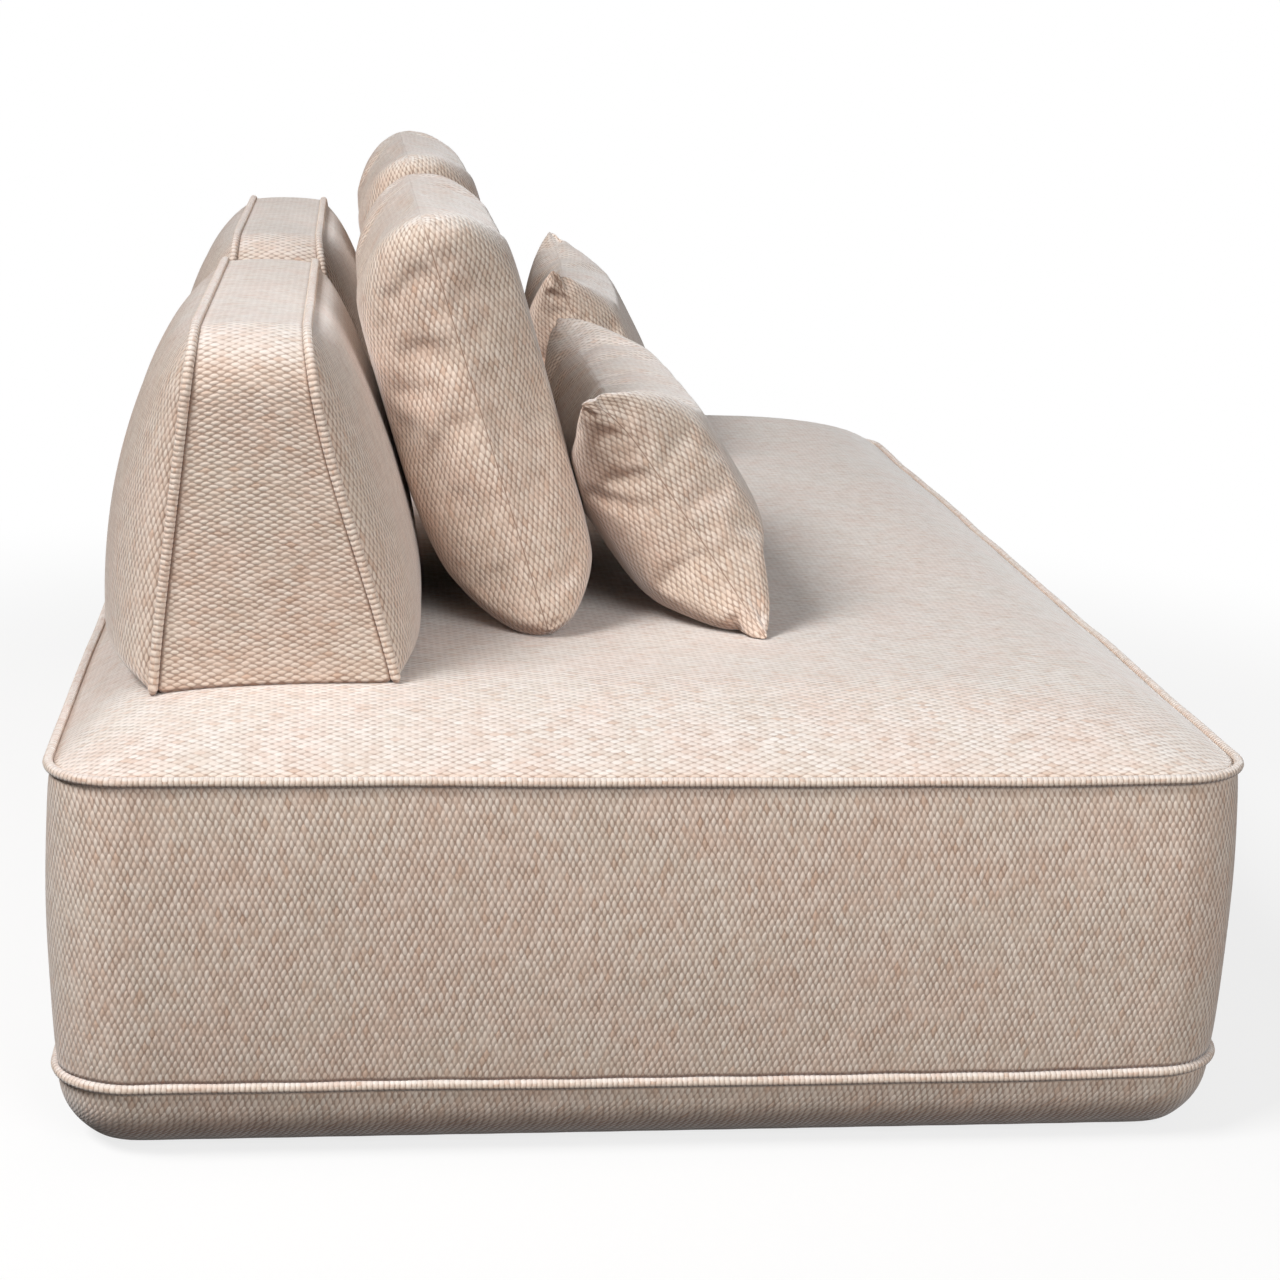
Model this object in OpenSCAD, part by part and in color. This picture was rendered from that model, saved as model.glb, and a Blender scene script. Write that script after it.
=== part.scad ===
// Low upholstered sofa: a platform on a timber frame, two loose wedge backrests,
// two back cushions and two scatter cushions. Every cover is sewn of crowned panels.
// X runs along the sofa, the front faces -Y, Z is up and the floor is at zero.

/* [Platform] */
// Length over the border panels
platform_length = 1870; // [1500:10:2400]
// Depth over the border panels
platform_depth = 1160; // [1000:10:1300]
// Height of the top seam above the floor
seam_height = 380; // [340:1:420]
// Height of the lower seam above the floor
lower_seam_height = 77; // [70:1:90]
// Radius of the corners seen from above
corner_radius = 85; // [70:1:120]
// Height that the seat panel crowns above its seam
crown_height = 58; // [40:1:75]
// Distance from the seam over which the seat panel rises
crown_reach = 200; // [150:5:260]
// Bulge of the border panels at half height
border_bulge = 6; // [3:0.5:9]

/* [Covers] */
// Thickness of the woven cover cloth
cloth = 2; // [1.5:0.1:2.5]
// Diameter of the corded piping
piping = 13; // [10:0.5:14]
// Thickness of the foam that pads the border
border_padding = 24; // [20:1:30]

/* [Timber frame] */
// Thickness of the boards
board = 22; // [18:1:26]
// Top of the boards above the floor
frame_top = 236; // [200:1:260]
// Bottom of the upper boards above the floor
frame_bottom = 60; // [50:1:65]
// Distance that the plinth stands back from the border
plinth_setback = 78; // [70:1:100]
// Side of a corner block
corner_block = 42; // [30:1:60]
// Number of cross rails
cross_rail_count = 3; // [2:1:4]
// Depth that the cross rails hang below the webbing
webbing_sag = 34; // [20:1:50]

/* [Webbing] */
// Width of an elastic strap
strap_width = 70; // [50:5:80]
// Thickness of an elastic strap
strap = 1.6; // [1:0.1:2.5]
// Number of straps along the sofa
long_strap_count = 6; // [4:1:7]
// Number of straps across the sofa
cross_strap_count = 10; // [6:1:12]

/* [Glides] */
// Height of a glide under the plinth
glide_height = 14; // [10:1:20]
// Diameter of a glide
glide_diameter = 44; // [30:1:50]

/* [Backrests] */
// Length of one backrest
backrest_length = 680; // [500:10:720]
// Height of its top above the seat
backrest_rise = 336; // [280:1:380]
// Depth between its seams at the foot
backrest_foot = 234; // [200:1:260]
// Depth between its seams at the top
backrest_head = 104; // [80:1:130]
// Distance of its rear seam from the back of the platform, at the foot
backrest_setback = 97; // [90:1:130]
// Distance that its rear seam leans forward at the top
backrest_rear_lean = 42; // [30:1:60]
// Radius of its two top corners
backrest_corner = 62; // [45:1:80]
// Bulge of its rear panel
rear_bulge = 73; // [50:1:78]
// Bulge of its front panel
front_bulge = 53; // [35:1:65]
// Distance from the left end of the platform to the left backrest
left_backrest_inset = 140; // [120:5:200]
// Distance from the left end of the platform to the right backrest
right_backrest_inset = 1015; // [1005:5:1040]

/* [Back cushions] */
// Length of a back cushion
cushion_length = 600; // [450:10:640]
// Height of a back cushion along its lean
cushion_height = 457; // [400:1:500]
// Thickness of a back cushion
cushion_thickness = 183; // [150:1:210]
// Bulge that its front keeps where a scatter cushion presses it flat
cushion_front_bulge = 75; // [60:1:105]
// Lean of the left back cushion
left_cushion_lean = 18.5; // [10:0.5:20]
// Lean of the right back cushion
right_cushion_lean = 18; // [10:0.5:20]
// Distance of a back cushion's left end from its backrest's left end
cushion_shift = 155; // [100:5:180]

/* [Scatter cushions] */
// Length of a scatter cushion
scatter_length = 575; // [400:5:600]
// Height of a scatter cushion from corner to corner
scatter_height = 322; // [300:1:400]
// Thickness of a scatter cushion
scatter_thickness = 182; // [120:1:190]
// Bulge that the rear of the left one keeps where it is pressed flat
left_scatter_bulge = 60; // [50:1:95]
// Bulge that the rear of the right one keeps where it is pressed flat
right_scatter_bulge = 84; // [50:1:95]
// Lean of the left scatter cushion
left_scatter_lean = 35; // [28:1:40]
// Lean of the right scatter cushion
right_scatter_lean = 27; // [20:1:36]
// Turn of the right scatter cushion about the vertical, its far end to the front
right_scatter_turn = 4; // [0:0.5:6]
// Distance of the left scatter cushion from the left end of its back cushion
left_scatter_shift = 5; // [0:5:60]
// Distance of the right scatter cushion from the left end of its back cushion
right_scatter_shift = 15; // [0:5:60]

/* [Hidden] */

// Gap between two layers of one piece
layer_gap = 0.4;
// Gap under a loose piece that rests on another
rest_gap = 0.3;
// Gap between two loose pieces that lean on each other
lean_gap = 0.8;
// Overrun of every cut
over = 1;
// Smoothness of true curves
$fn = 48;

cloth_color = "#c9b8a4";
piping_color = "#bfae9b";
foam_color = "#efe6c4";
timber_color = "#c79f68";
steel_color = "#8d9094";
strap_color = "#4b4743";
felt_color = "#2f2d2b";
fill_color = "#f2efe8";

half_x = platform_length / 2;
half_y = platform_depth / 2;
seat_level = seam_height + crown_height;

// Insets from the border's outer face to each layer
foam_inset = cloth + layer_gap;
frame_inset = foam_inset + border_padding + layer_gap;
frame_x = half_x - frame_inset;
frame_y = half_y - frame_inset;
frame_radius = corner_radius - frame_inset;
plinth_x = half_x - plinth_setback;
plinth_y = half_y - plinth_setback;
plinth_radius = frame_radius / 2;
frame_height = frame_top - frame_bottom;
cross_rail_height = frame_height - webbing_sag;

// A rectangle with round corners, about the origin
module round_plan(x, y, r) {
    square([2 * x, 2 * (y - r)], center = true);
    square([2 * (x - r), 2 * y], center = true);
    for (side = [-1, 1], end = [-1, 1])
        translate([side * (x - r), end * (y - r)])
            circle(r);
}

// Sweeps the profile drawn by its child round a rectangle with round corners.
// The child is drawn with its X as the distance outward from the corner's centre.
module round_sweep(x, y, r) {
    for (turn = [0 : 3])
        let (
            long = turn % 2 == 0 ? x - r : y - r,
            across = turn % 2 == 0 ? y - r : x - r
        )
            rotate([0, 0, 90 * turn]) {
                translate([long, across, 0])
                    rotate_extrude(angle = 90)
                        children();
                translate([long, across, 0])
                    rotate([90, 0, 0])
                        linear_extrude(2 * across)
                            children();
            }
}

// The outline of a rectangle with round corners, as points at one height
corner_steps = 6;
function round_ring(x, y, r, z) = [
    for (corner = [0 : 3], step = [0 : corner_steps])
        let (
            angle = 90 * (corner + step / corner_steps),
            sx = sign(cos(90 * corner + 45)),
            sy = sign(sin(90 * corner + 45))
        )
            [sx * (x - r) + r * cos(angle), sy * (y - r) + r * sin(angle), z]
];

// A solid through closed rings of equal count, with flat first and last faces
module loft(rings) {
    count = len(rings[0]);
    last = len(rings) - 1;
    points = [for (ring = rings) each ring];
    walls = [
        for (k = [0 : last - 1], i = [0 : count - 1])
            let (
                a = k * count + i,
                b = k * count + (i + 1) % count
            )
                each [[a, b + count, b], [a, a + count, b + count]]
    ];
    foot = [for (i = [0 : count - 1]) i];
    head = [for (i = [count - 1 : -1 : 0]) last * count + i];
    polyhedron(points, concat(walls, [foot, head]));
}

// A closed solid between two grids of points, the first one facing out
module between(face, back) {
    rows = len(face) - 1;
    columns = len(face[0]) - 1;
    size = (rows + 1) * (columns + 1);
    points = concat([for (row = face) each row], [for (row = back) each row]);
    function at(i, j) = i * (columns + 1) + j;
    skins = [
        for (i = [0 : rows - 1], j = [0 : columns - 1])
            let (
                a = at(i, j),
                b = at(i + 1, j),
                c = at(i + 1, j + 1),
                d = at(i, j + 1)
            )
                each [
                    [a, c, b], [a, d, c],
                    [a + size, b + size, c + size], [a + size, c + size, d + size]
                ]
    ];
    row_rims = [
        for (i = [0 : rows - 1])
            let (
                a = at(i, 0),
                b = at(i + 1, 0),
                c = at(i, columns),
                d = at(i + 1, columns)
            )
                each [
                    [a, b + size, a + size], [a, b, b + size],
                    [c, c + size, d + size], [c, d + size, d]
                ]
    ];
    column_rims = [
        for (j = [0 : columns - 1])
            let (
                a = at(0, j),
                b = at(0, j + 1),
                c = at(rows, j),
                d = at(rows, j + 1)
            )
                each [
                    [a, a + size, b + size], [a, b + size, b],
                    [c, d + size, c + size], [c, d, d + size]
                ]
    ];
    polyhedron(points, concat(skins, row_rims, column_rims));
}

// Timber frame

module frame_plan() {
    round_plan(frame_x, frame_y, frame_radius);
}

// The screws that hold each board to its corner block, as [x, y, z, turn] of each head
screw_diameter = 5;
screw_head = 10;
screw_head_height = 3;
screw_grip = 20;
screw_sink = 4;
screw_gap = 0.2;
screw_level_shares = [0.3, 0.7];
block_x = frame_x - board - layer_gap - corner_block / 2;
block_y = frame_y - board - layer_gap - corner_block / 2;
screw_places = [
    for (end = [-1, 1], side = [-1, 1], share = screw_level_shares)
        each [
            [end * block_x, side * (frame_y - screw_sink), frame_bottom + share * frame_height,
             side > 0 ? 0 : 180],
            [end * (frame_x - screw_sink), side * block_y,
             frame_bottom + (share + corner_block / frame_height / 3) * frame_height,
             end > 0 ? -90 : 90]
        ]
];

// One screw along -Y from its head, widened by a gap to cut its hole
module screw(gap) {
    rotate([90, 0, 0]) {
        cylinder(h = board + screw_grip + gap, d = screw_diameter + 2 * gap);
        translate([0, 0, gap > 0 ? -screw_sink - over : 0])
            cylinder(h = screw_head_height + (gap > 0 ? screw_sink + over : 0), d = screw_head + 2 * gap);
    }
}

module screws(gap) {
    for (place = screw_places)
        translate([place[0], place[1], place[2]])
            rotate([0, 0, place[3]])
                screw(gap);
}

module side_rails() {
    color(timber_color)
        difference() {
            translate([0, 0, frame_bottom])
                linear_extrude(frame_height)
                    difference() {
                        frame_plan();
                        square([2 * frame_x + 2 * over, 2 * (frame_y - board)], center = true);
                    }
            screws(screw_gap);
        }
}

module end_rails() {
    color(timber_color)
        difference() {
            intersection() {
                for (end = [-1, 1])
                    translate([end * (frame_x - board / 2), 0, frame_bottom + frame_height / 2])
                        cube([board, 2 * (frame_y - board - layer_gap), frame_height], center = true);
                translate([0, 0, frame_bottom - over])
                    linear_extrude(frame_height + 2 * over)
                        frame_plan();
            }
            screws(screw_gap);
        }
}

cross_rail_length = 2 * (frame_y - board - layer_gap);
cross_rail_pitch = 2 * frame_x / (cross_rail_count + 1);
module cross_rails() {
    color(timber_color)
        for (i = [1 : cross_rail_count])
            translate([-frame_x + i * cross_rail_pitch, 0, frame_bottom + cross_rail_height / 2])
                cube([board, cross_rail_length, cross_rail_height], center = true);
}

// Four boards on edge under the frame, stood back so that the cover can curve in
plinth_height = frame_bottom - glide_height;
module plinth() {
    color(timber_color)
        difference() {
            translate([0, 0, glide_height])
                linear_extrude(plinth_height)
                    difference() {
                        round_plan(plinth_x, plinth_y, plinth_radius);
                        square([2 * (plinth_x - plinth_board), 2 * (plinth_y - plinth_board)], center = true);
                    }
            glide_screw_set(screw_gap);
        }
}

module corner_blocks() {
    color(timber_color)
        difference() {
            for (end = [-1, 1], side = [-1, 1])
                translate([end * block_x, side * block_y, frame_bottom + frame_height / 2])
                    cube([corner_block, corner_block, frame_height], center = true);
            screws(screw_gap);
        }
}

module frame_screws() {
    color(steel_color)
        screws(0);
}

// Glides

plinth_board = 2 * board;
glide_x = plinth_x - plinth_board / 2;
glide_y = plinth_y - plinth_board / 2;
glide_screw = 4.5;
glide_screw_head = 9;
glide_screw_length = 34;
glide_cup_depth = 6;
glide_rim = 2;
glide_columns = 3;
glide_end_share = 0.92;
glide_places = [
    for (column = [0 : glide_columns - 1], side = [-1, 1])
        [glide_end_share * glide_x * (2 * column / (glide_columns - 1) - 1), side * glide_y, 0]
];

module glide_screw_one(gap) {
    translate([0, 0, glide_cup_depth - glide_screw_head / 3])
        cylinder(h = glide_screw_length + gap, d = glide_screw + 2 * gap);
    translate([0, 0, glide_cup_depth - glide_screw_head / 3])
        cylinder(h = glide_screw_head / 3, d1 = glide_screw_head + 2 * gap, d2 = glide_screw + 2 * gap);
}

module glide_screw_set(gap) {
    for (place = glide_places)
        translate(place)
            glide_screw_one(gap);
}

module glides() {
    color(felt_color)
        for (place = glide_places)
            translate(place)
                difference() {
                    rotate_extrude()
                        polygon([
                            [0, 0],
                            [glide_diameter / 2 - glide_rim, 0],
                            [glide_diameter / 2, glide_rim],
                            [glide_diameter / 2, glide_height],
                            [0, glide_height]
                        ]);
                    translate([0, 0, -over])
                        cylinder(h = glide_cup_depth + over, d = glide_screw_head + 2 * glide_rim);
                    cylinder(h = glide_height + over, d = glide_screw + 2 * screw_gap);
                    translate([0, 0, glide_cup_depth - glide_screw_head / 3])
                        cylinder(
                            h = glide_screw_head / 3 + screw_gap,
                            d1 = glide_screw_head + 2 * screw_gap,
                            d2 = glide_screw + 2 * screw_gap
                        );
                }
}

module glide_screws() {
    color(steel_color)
        glide_screw_set(0);
}

// Webbing: straps woven over and under each other and fixed on top of the boards

strap_lap_share = 0.7;
strap_lift = strap + layer_gap;
long_pitch = 2 * (frame_y - board) / (long_strap_count + 1);
cross_pitch = 2 * (frame_x - board) / (cross_strap_count + 1);

// One strap's side view: flat at each crossing, with a step between two crossings
function strap_line(count, pitch, end, first) = concat(
    [[-end, 0]],
    [
        for (i = [0 : count - 1])
            let (
                middle = (i - (count - 1) / 2) * pitch,
                lift = (i + first) % 2 * strap_lift
            )
                each [[middle - strap_width / 2, lift], [middle + strap_width / 2, lift]]
    ],
    [[end, 0]]
);

module strap_solid(line) {
    top = [for (i = [len(line) - 1 : -1 : 0]) line[i] + [0, strap]];
    rotate([90, 0, 0])
        translate([0, 0, -strap_width / 2])
            linear_extrude(strap_width)
                polygon(concat(line, top));
}

module long_webbing() {
    color(strap_color)
        for (j = [0 : long_strap_count - 1])
            translate([0, (j - (long_strap_count - 1) / 2) * long_pitch, frame_top + layer_gap])
                strap_solid(strap_line(cross_strap_count, cross_pitch, frame_x - (1 - strap_lap_share) * board, j));
}

module cross_webbing() {
    color(strap_color)
        for (i = [0 : cross_strap_count - 1])
            translate([(i - (cross_strap_count - 1) / 2) * cross_pitch, 0, frame_top + layer_gap])
                rotate([0, 0, 90])
                    strap_solid(strap_line(long_strap_count, long_pitch, frame_y - (1 - strap_lap_share) * board, i + 1));
}

// Foams of the platform

foam_floor = frame_top + 2 * strap_lift + 2 * layer_gap;
module seat_foam() {
    color(foam_color)
        translate([0, 0, foam_floor])
            linear_extrude(seam_height - foam_floor - layer_gap)
                frame_plan();
}

// Height of the seat above its seam at a distance in from the edge
crown_power = 2.2;
function crown_at(inset) = crown_height * (1 - pow(1 - min(inset / crown_reach, 1), crown_power));

// Rings of the crowned seat from its edge to its flat middle, lowered by some layers
crown_shares = [0, 0.06, 0.17, 0.34, 0.6, 1];
contour_growth = 0.55;
function crown_rings(depth) = [
    for (share = crown_shares)
        let (
            inset = share * crown_reach,
            shrink = seam_tuck + depth + inset
        )
            round_ring(
                half_x - shrink,
                half_y - shrink,
                corner_radius - seam_tuck - depth + contour_growth * inset,
                seam_height + crown_at(inset) - depth * min(1, share / crown_shares[2])
            )
];

seam_tuck = border_bulge + piping / 2 + layer_gap;
module seat_topper() {
    rings = crown_rings(cloth + layer_gap);
    color(foam_color)
        loft(rings);
}

module top_cover() {
    outer = crown_rings(0);
    inner = crown_rings(cloth);
    color(cloth_color)
        loft(concat(backwards(inner), outer));
}

// Distance that the border stands out from its seams at a share of its height
border_points = 8;
function border_swell(share) = border_bulge * sin(180 * share);
border_low = lower_seam_height + piping / 2 + layer_gap;
border_high = seam_height - piping / 2 - layer_gap;

function border_line(depth, low, high) = [
    for (i = [0 : border_points])
        let (share = i / border_points)
            [corner_radius - depth + border_swell(share) - border_bulge, low + share * (high - low)]
];

function backwards(line) = [for (i = [len(line) - 1 : -1 : 0]) line[i]];

module border_cover() {
    color(cloth_color)
        round_sweep(half_x, half_y, corner_radius)
            polygon(concat(
                border_line(0, border_low, border_high),
                backwards(border_line(cloth, border_low, border_high))
            ));
}

// The border's padding runs from the plinth's step up to the seat seam
padding_low = frame_bottom;
padding_high = seam_height - piping / 2 - layer_gap;
padding_notch = 2 * piping / 3;
module border_foam() {
    line = border_line(foam_inset, border_low, padding_high);
    color(foam_color)
        round_sweep(half_x, half_y, corner_radius)
            polygon(concat(
                [
                    [corner_radius - frame_inset + layer_gap, padding_low],
                    [corner_radius - foam_inset - padding_notch - border_bulge, padding_low],
                    [corner_radius - foam_inset - padding_notch - border_bulge, border_low]
                ],
                line,
                [[corner_radius - frame_inset + layer_gap, padding_high]]
            ));
}

// The band under the lower seam curves in to the plinth
band_clearance = 3;
band_points = 7;
band_top = lower_seam_height - piping / 2 - layer_gap;
band_reach = 56;
band_tail = 12;
function band_line(depth) = [
    for (i = [0 : band_points])
        let (angle = 90 * i / band_points)
            [
                corner_radius - border_bulge - band_reach + (band_reach - depth) * cos(angle),
                band_top - (band_top - band_clearance - depth) * sin(angle)
            ]
];

module under_band() {
    tail_x = corner_radius - border_bulge - band_reach - band_tail;
    color(cloth_color)
        round_sweep(half_x, half_y, corner_radius)
            polygon(concat(
                band_line(0),
                [[tail_x, band_clearance], [tail_x, band_clearance + cloth]],
                backwards(band_line(cloth))
            ));
}

module roll_foam() {
    inner_x = corner_radius - plinth_setback + layer_gap;
    roll_top = frame_bottom - layer_gap;
    line = band_line(foam_inset);
    color(foam_color)
        intersection() {
            round_sweep(half_x, half_y, corner_radius)
                polygon(concat(line, [[inner_x, band_clearance + foam_inset], [inner_x, band_top]]));
            translate([0, 0, roll_top / 2])
                cube([2 * half_x, 2 * half_y, roll_top], center = true);
        }
}

module dust_cloth() {
    color(felt_color)
        difference() {
            translate([0, 0, glide_height - cloth - layer_gap])
                linear_extrude(cloth)
                    round_plan(
                        plinth_x - layer_gap,
                        plinth_y - layer_gap,
                        plinth_radius
                    );
            for (place = glide_places)
                translate([place[0], place[1], 0])
                    cylinder(h = glide_height + over, d = glide_diameter + 2 * layer_gap);
        }
}

// Piping round the platform

module plan_piping(inset, z) {
    color(piping_color)
        round_sweep(half_x, half_y, corner_radius)
            translate([corner_radius - inset, z])
                circle(d = piping, $fn = 20);
}

module top_piping() {
    plan_piping(border_bulge, seam_height);
}

module lower_piping() {
    plan_piping(border_bulge, lower_seam_height);
}

// Backrests

mat = 3;
foot_level = seat_level + rest_gap;
shell_foot = foot_level + mat;
backrest_top = seat_level + backrest_rise;
rear_foot_y = half_y - backrest_setback;
front_foot_y = rear_foot_y - backrest_foot;
rear_head_y = rear_foot_y - backrest_rear_lean;
front_head_y = rear_head_y - backrest_head;
backrest_height = backrest_top - foot_level;
backrest_x = backrest_length / 2;

// Where each seam lies in depth at a height
function rear_seam_y(z) = rear_foot_y + (rear_head_y - rear_foot_y) * (z - foot_level) / backrest_height;
function front_seam_y(z) = front_foot_y + (front_head_y - front_foot_y) * (z - foot_level) / backrest_height;

// Half length of the arched outline at a height
function arch_x(z, depth) =
    let (
        r = backrest_corner - depth,
        rise = max(z - (backrest_top - depth - r), 0)
    )
        backrest_x - depth - r + sqrt(max(r * r - rise * rise, 0));

// How full a panel is: it turns out fast from its foot, is fullest at its crest share and
// thins towards its top seam. The foot share tells how full it still is just above its foot.
rear_crest_share = 0.33;
front_crest_share = 0.49;
rear_foot_share = 0.84;
front_foot_share = 0.53;
foot_turn_share = 0.06;
side_power = 3.2;
side_root = 0.55;
function rise_share(v, crest, foot) =
    v > crest
        ? sqrt(max(0, 1 - pow((v - crest) / (1 - crest), 2)))
        : sqrt(1 - (1 - foot * foot) * pow((crest - v) / crest, 2));
function turn_share(v) = v < foot_turn_share ? sqrt(1 - pow(1 - v / foot_turn_share, 2)) : 1;
function fullness(side, u, v) =
    turn_share(v) * pow(1 - pow(abs(u), side_power), side_root) * (
        side < 0
            ? rise_share(v, front_crest_share, front_foot_share)
            : rise_share(v, rear_crest_share, rear_foot_share)
    );

panel_rows = 8;
panel_columns = 8;
piping_proud = 5;
seam_room = piping - piping_proud + layer_gap;
gusset_room = piping / 2 + 2 * layer_gap;
// side is -1 for the front panel and 1 for the rear one
function panel_grid(side, depth, bulge) = [
    for (i = [0 : panel_columns])
        [
            for (j = [0 : panel_rows])
                let (
                    u = -cos(180 * i / panel_columns),
                    v = (1 - cos(180 * j / panel_rows)) / 2,
                    inset = seam_room + depth,
                    low = shell_foot + depth,
                    high = backrest_top - inset,
                    z = low + (high - low) * v,
                    seam = side < 0 ? front_seam_y(z) : rear_seam_y(z),
                    full = max(0, fullness(side, u, v))
                )
                    [u * arch_x(z, inset), seam + side * ((bulge - depth) * full), z]
        ]
];

module backrest_foam() {
    depth = cloth + layer_gap;
    lift = board + ballast + 2 * layer_gap;
    color(foam_color)
        difference() {
            union() {
                between(
                    [for (row = panel_grid(-1, depth, front_bulge)) [for (p = row) p + [0, depth, 0]]],
                    [for (row = panel_grid(1, depth, rear_bulge)) [for (p = row) p - [0, depth, 0]]]
                );
                wedge(depth, shell_foot + layer_gap, gusset_room + depth);
            }
            translate([0, foot_middle_y, shell_foot])
                cube([
                    2 * backboard_x + 2 * layer_gap,
                    2 * backboard_y + 2 * layer_gap,
                    2 * lift
                ], center = true);
        }
}

// A plywood board closes the foot, with a steel plate on it for weight
ballast = 8;
board_margin = 22;
backboard_x = backrest_x - board_margin;
backboard_y = backrest_foot / 2 - board_margin;
foot_middle_y = rear_foot_y - backrest_foot / 2;
module backrest_board() {
    color(timber_color)
        translate([0, foot_middle_y, shell_foot + board / 2])
            cube([2 * backboard_x, 2 * backboard_y, board - 2 * layer_gap], center = true);
}

ballast_share = 0.8;
module backrest_ballast() {
    color(steel_color)
        translate([0, foot_middle_y, shell_foot + board + ballast / 2])
            cube([
                2 * ballast_share * backboard_x,
                2 * ballast_share * backboard_y,
                ballast
            ], center = true);
}

// The wedge between the two seam planes, arched at its top corners.
// room keeps it off each seam.
module wedge(depth, foot, room) {
    top = backrest_top - depth;
    reach = backrest_length;
    intersection() {
        translate([-reach, 0, 0])
            rotate([90, 0, 90])
                linear_extrude(2 * reach)
                    polygon([
                        [front_seam_y(foot) + room, foot],
                        [rear_seam_y(foot) - room, foot],
                        [rear_seam_y(top) - room, top],
                        [front_seam_y(top) + room, top]
                    ]);
        translate([0, 2 * half_y, 0])
            rotate([90, 0, 0])
                linear_extrude(4 * half_y)
                    arch_plan(depth, foot, top);
    }
}

module arch_plan(depth, foot, top) {
    r = backrest_corner - depth;
    x = backrest_x - depth;
    translate([-x, foot])
        square([2 * x, top - foot - r]);
    translate([-(x - r), foot])
        square([2 * (x - r), top - foot]);
    for (end = [-1, 1])
        translate([end * (x - r), top - r])
            circle(r);
}

module backrest_gusset() {
    color(cloth_color)
        difference() {
            wedge(0, shell_foot, gusset_room);
            wedge_hollow(cloth);
        }
}

// The wedge's hollow, longer than the band at the foot, front and rear
module wedge_hollow(depth) {
    translate([0, 2 * half_y, 0])
        rotate([90, 0, 0])
            linear_extrude(4 * half_y)
                arch_plan(depth, shell_foot - over, backrest_top - depth);
}

// One crowned panel with its thickness
module backrest_panel(side, bulge) {
    outer = panel_grid(side, 0, bulge);
    inner = [for (row = panel_grid(side, cloth, bulge)) [for (p = row) p - [0, side * cloth, 0]]];
    color(cloth_color)
        if (side < 0)
            between(outer, inner);
        else
            between(inner, outer);
}

// Piping along one seam: up one end, over the top and down the other
module seam_piping(side) {
    foot_y = side < 0 ? front_foot_y : rear_foot_y;
    head_y = side < 0 ? front_head_y : rear_head_y;
    lean = atan((head_y - foot_y) / backrest_height);
    tuck = piping / 2 - piping_proud;
    slant = backrest_height / cos(lean) - tuck;
    x = backrest_x - tuck;
    r = backrest_corner - tuck;
    straight = slant - r;
    foot_gap = mat + piping / 2 * tan(abs(lean)) + layer_gap;
    leg = straight - foot_gap;
    color(piping_color)
        translate([0, foot_y, foot_level])
            rotate([90 - lean, 0, 0]) {
                translate([x - r, straight, 0])
                    piping_arc(0, r);
                translate([x - r, straight, 0])
                    piping_leg(0, r, leg);
                translate([r - x, straight, 0])
                    piping_arc(90, r);
                translate([r - x, straight, 0])
                    piping_leg(90, r, 2 * (x - r));
                translate([r - x, foot_gap, 0])
                    piping_leg(180, r, leg);
            }
}

// A quarter turn of piping about the origin, and a straight leg back from its start
module piping_arc(turn, r) {
    rotate([0, 0, turn])
        rotate_extrude(angle = 90)
            translate([r, 0])
                circle(d = piping, $fn = 20);
}

module piping_leg(turn, r, leg) {
    rotate([0, 0, turn])
        rotate([90, 0, 0])
            linear_extrude(leg)
                translate([r, 0])
                    circle(d = piping, $fn = 20);
}

module backrest_grip_mat() {
    color(felt_color)
        translate([0, foot_middle_y, foot_level + (mat - layer_gap) / 2])
            cube([
                2 * backrest_x - 2 * cloth,
                backrest_foot - 2 * cloth,
                mat - layer_gap
            ], center = true);
}

// Cushions

// A cushion's skin on a grid: its sides draw in between pointed corners.
// side is -1 for the face turned to the front and 1 for the rear one. The higher a power,
// the boxier its edge; the sag share makes the lower half fuller than the upper one, and
// it bulges no further than the most that it is given.
cushion_cells = 10;
function pillow(side, x, z, thick, most, draw, end_power, low_power, high_power, sag_share, depth) = [
    for (i = [0 : cushion_cells])
        [
            for (j = [0 : cushion_cells])
                let (
                    u = -cos(180 * i / cushion_cells),
                    v = -cos(180 * j / cushion_cells),
                    pull_x = draw * (1 - pow(abs(v), draw_power)),
                    pull_z = draw * (1 - pow(abs(u), draw_power)),
                    edge_power = v < 0 ? low_power : high_power,
                    body = (1 - pow(abs(u), end_power)) * (1 - pow(abs(v), edge_power)),
                    free = (thick / 2 - depth) * (1 - sag_share * v) * sqrt(max(body, 0)),
                    swell = min(free, most - depth)
                )
                    [
                        u * (x - depth - pull_x),
                        side * (swell + seam_half),
                        v * (z - depth - pull_z)
                    ]
        ]
];

draw_power = 4;
seam_half = 0.2;
cushion_draw = 8;
cushion_end_power = 9;
cushion_low_power = 4.8;
cushion_high_power = 6.8;
cushion_sag_share = 0.15;
scatter_draw = 30;
scatter_end_power = 5.5;
scatter_low_power = 3.6;
scatter_high_power = 5;

function cushion_grid(side, depth) = pillow(
    side, cushion_length / 2, cushion_height / 2, cushion_thickness,
    side < 0 ? cushion_front_bulge : cushion_thickness,
    cushion_draw, cushion_end_power, cushion_low_power, cushion_high_power, cushion_sag_share, depth
);
function scatter_grid(side, bulge, depth) = pillow(
    side, scatter_length / 2, scatter_height / 2, scatter_thickness,
    side < 0 ? scatter_thickness : bulge,
    scatter_draw, scatter_end_power, scatter_low_power, scatter_high_power, 0, depth
);

// A grid leaned back about the sofa's length
function leaned(grid, lean) = [
    for (row = grid)
        [
            for (p = row)
                [p[0], p[1] * cos(lean) + p[2] * sin(lean), p[2] * cos(lean) - p[1] * sin(lean)]
        ]
];

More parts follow.
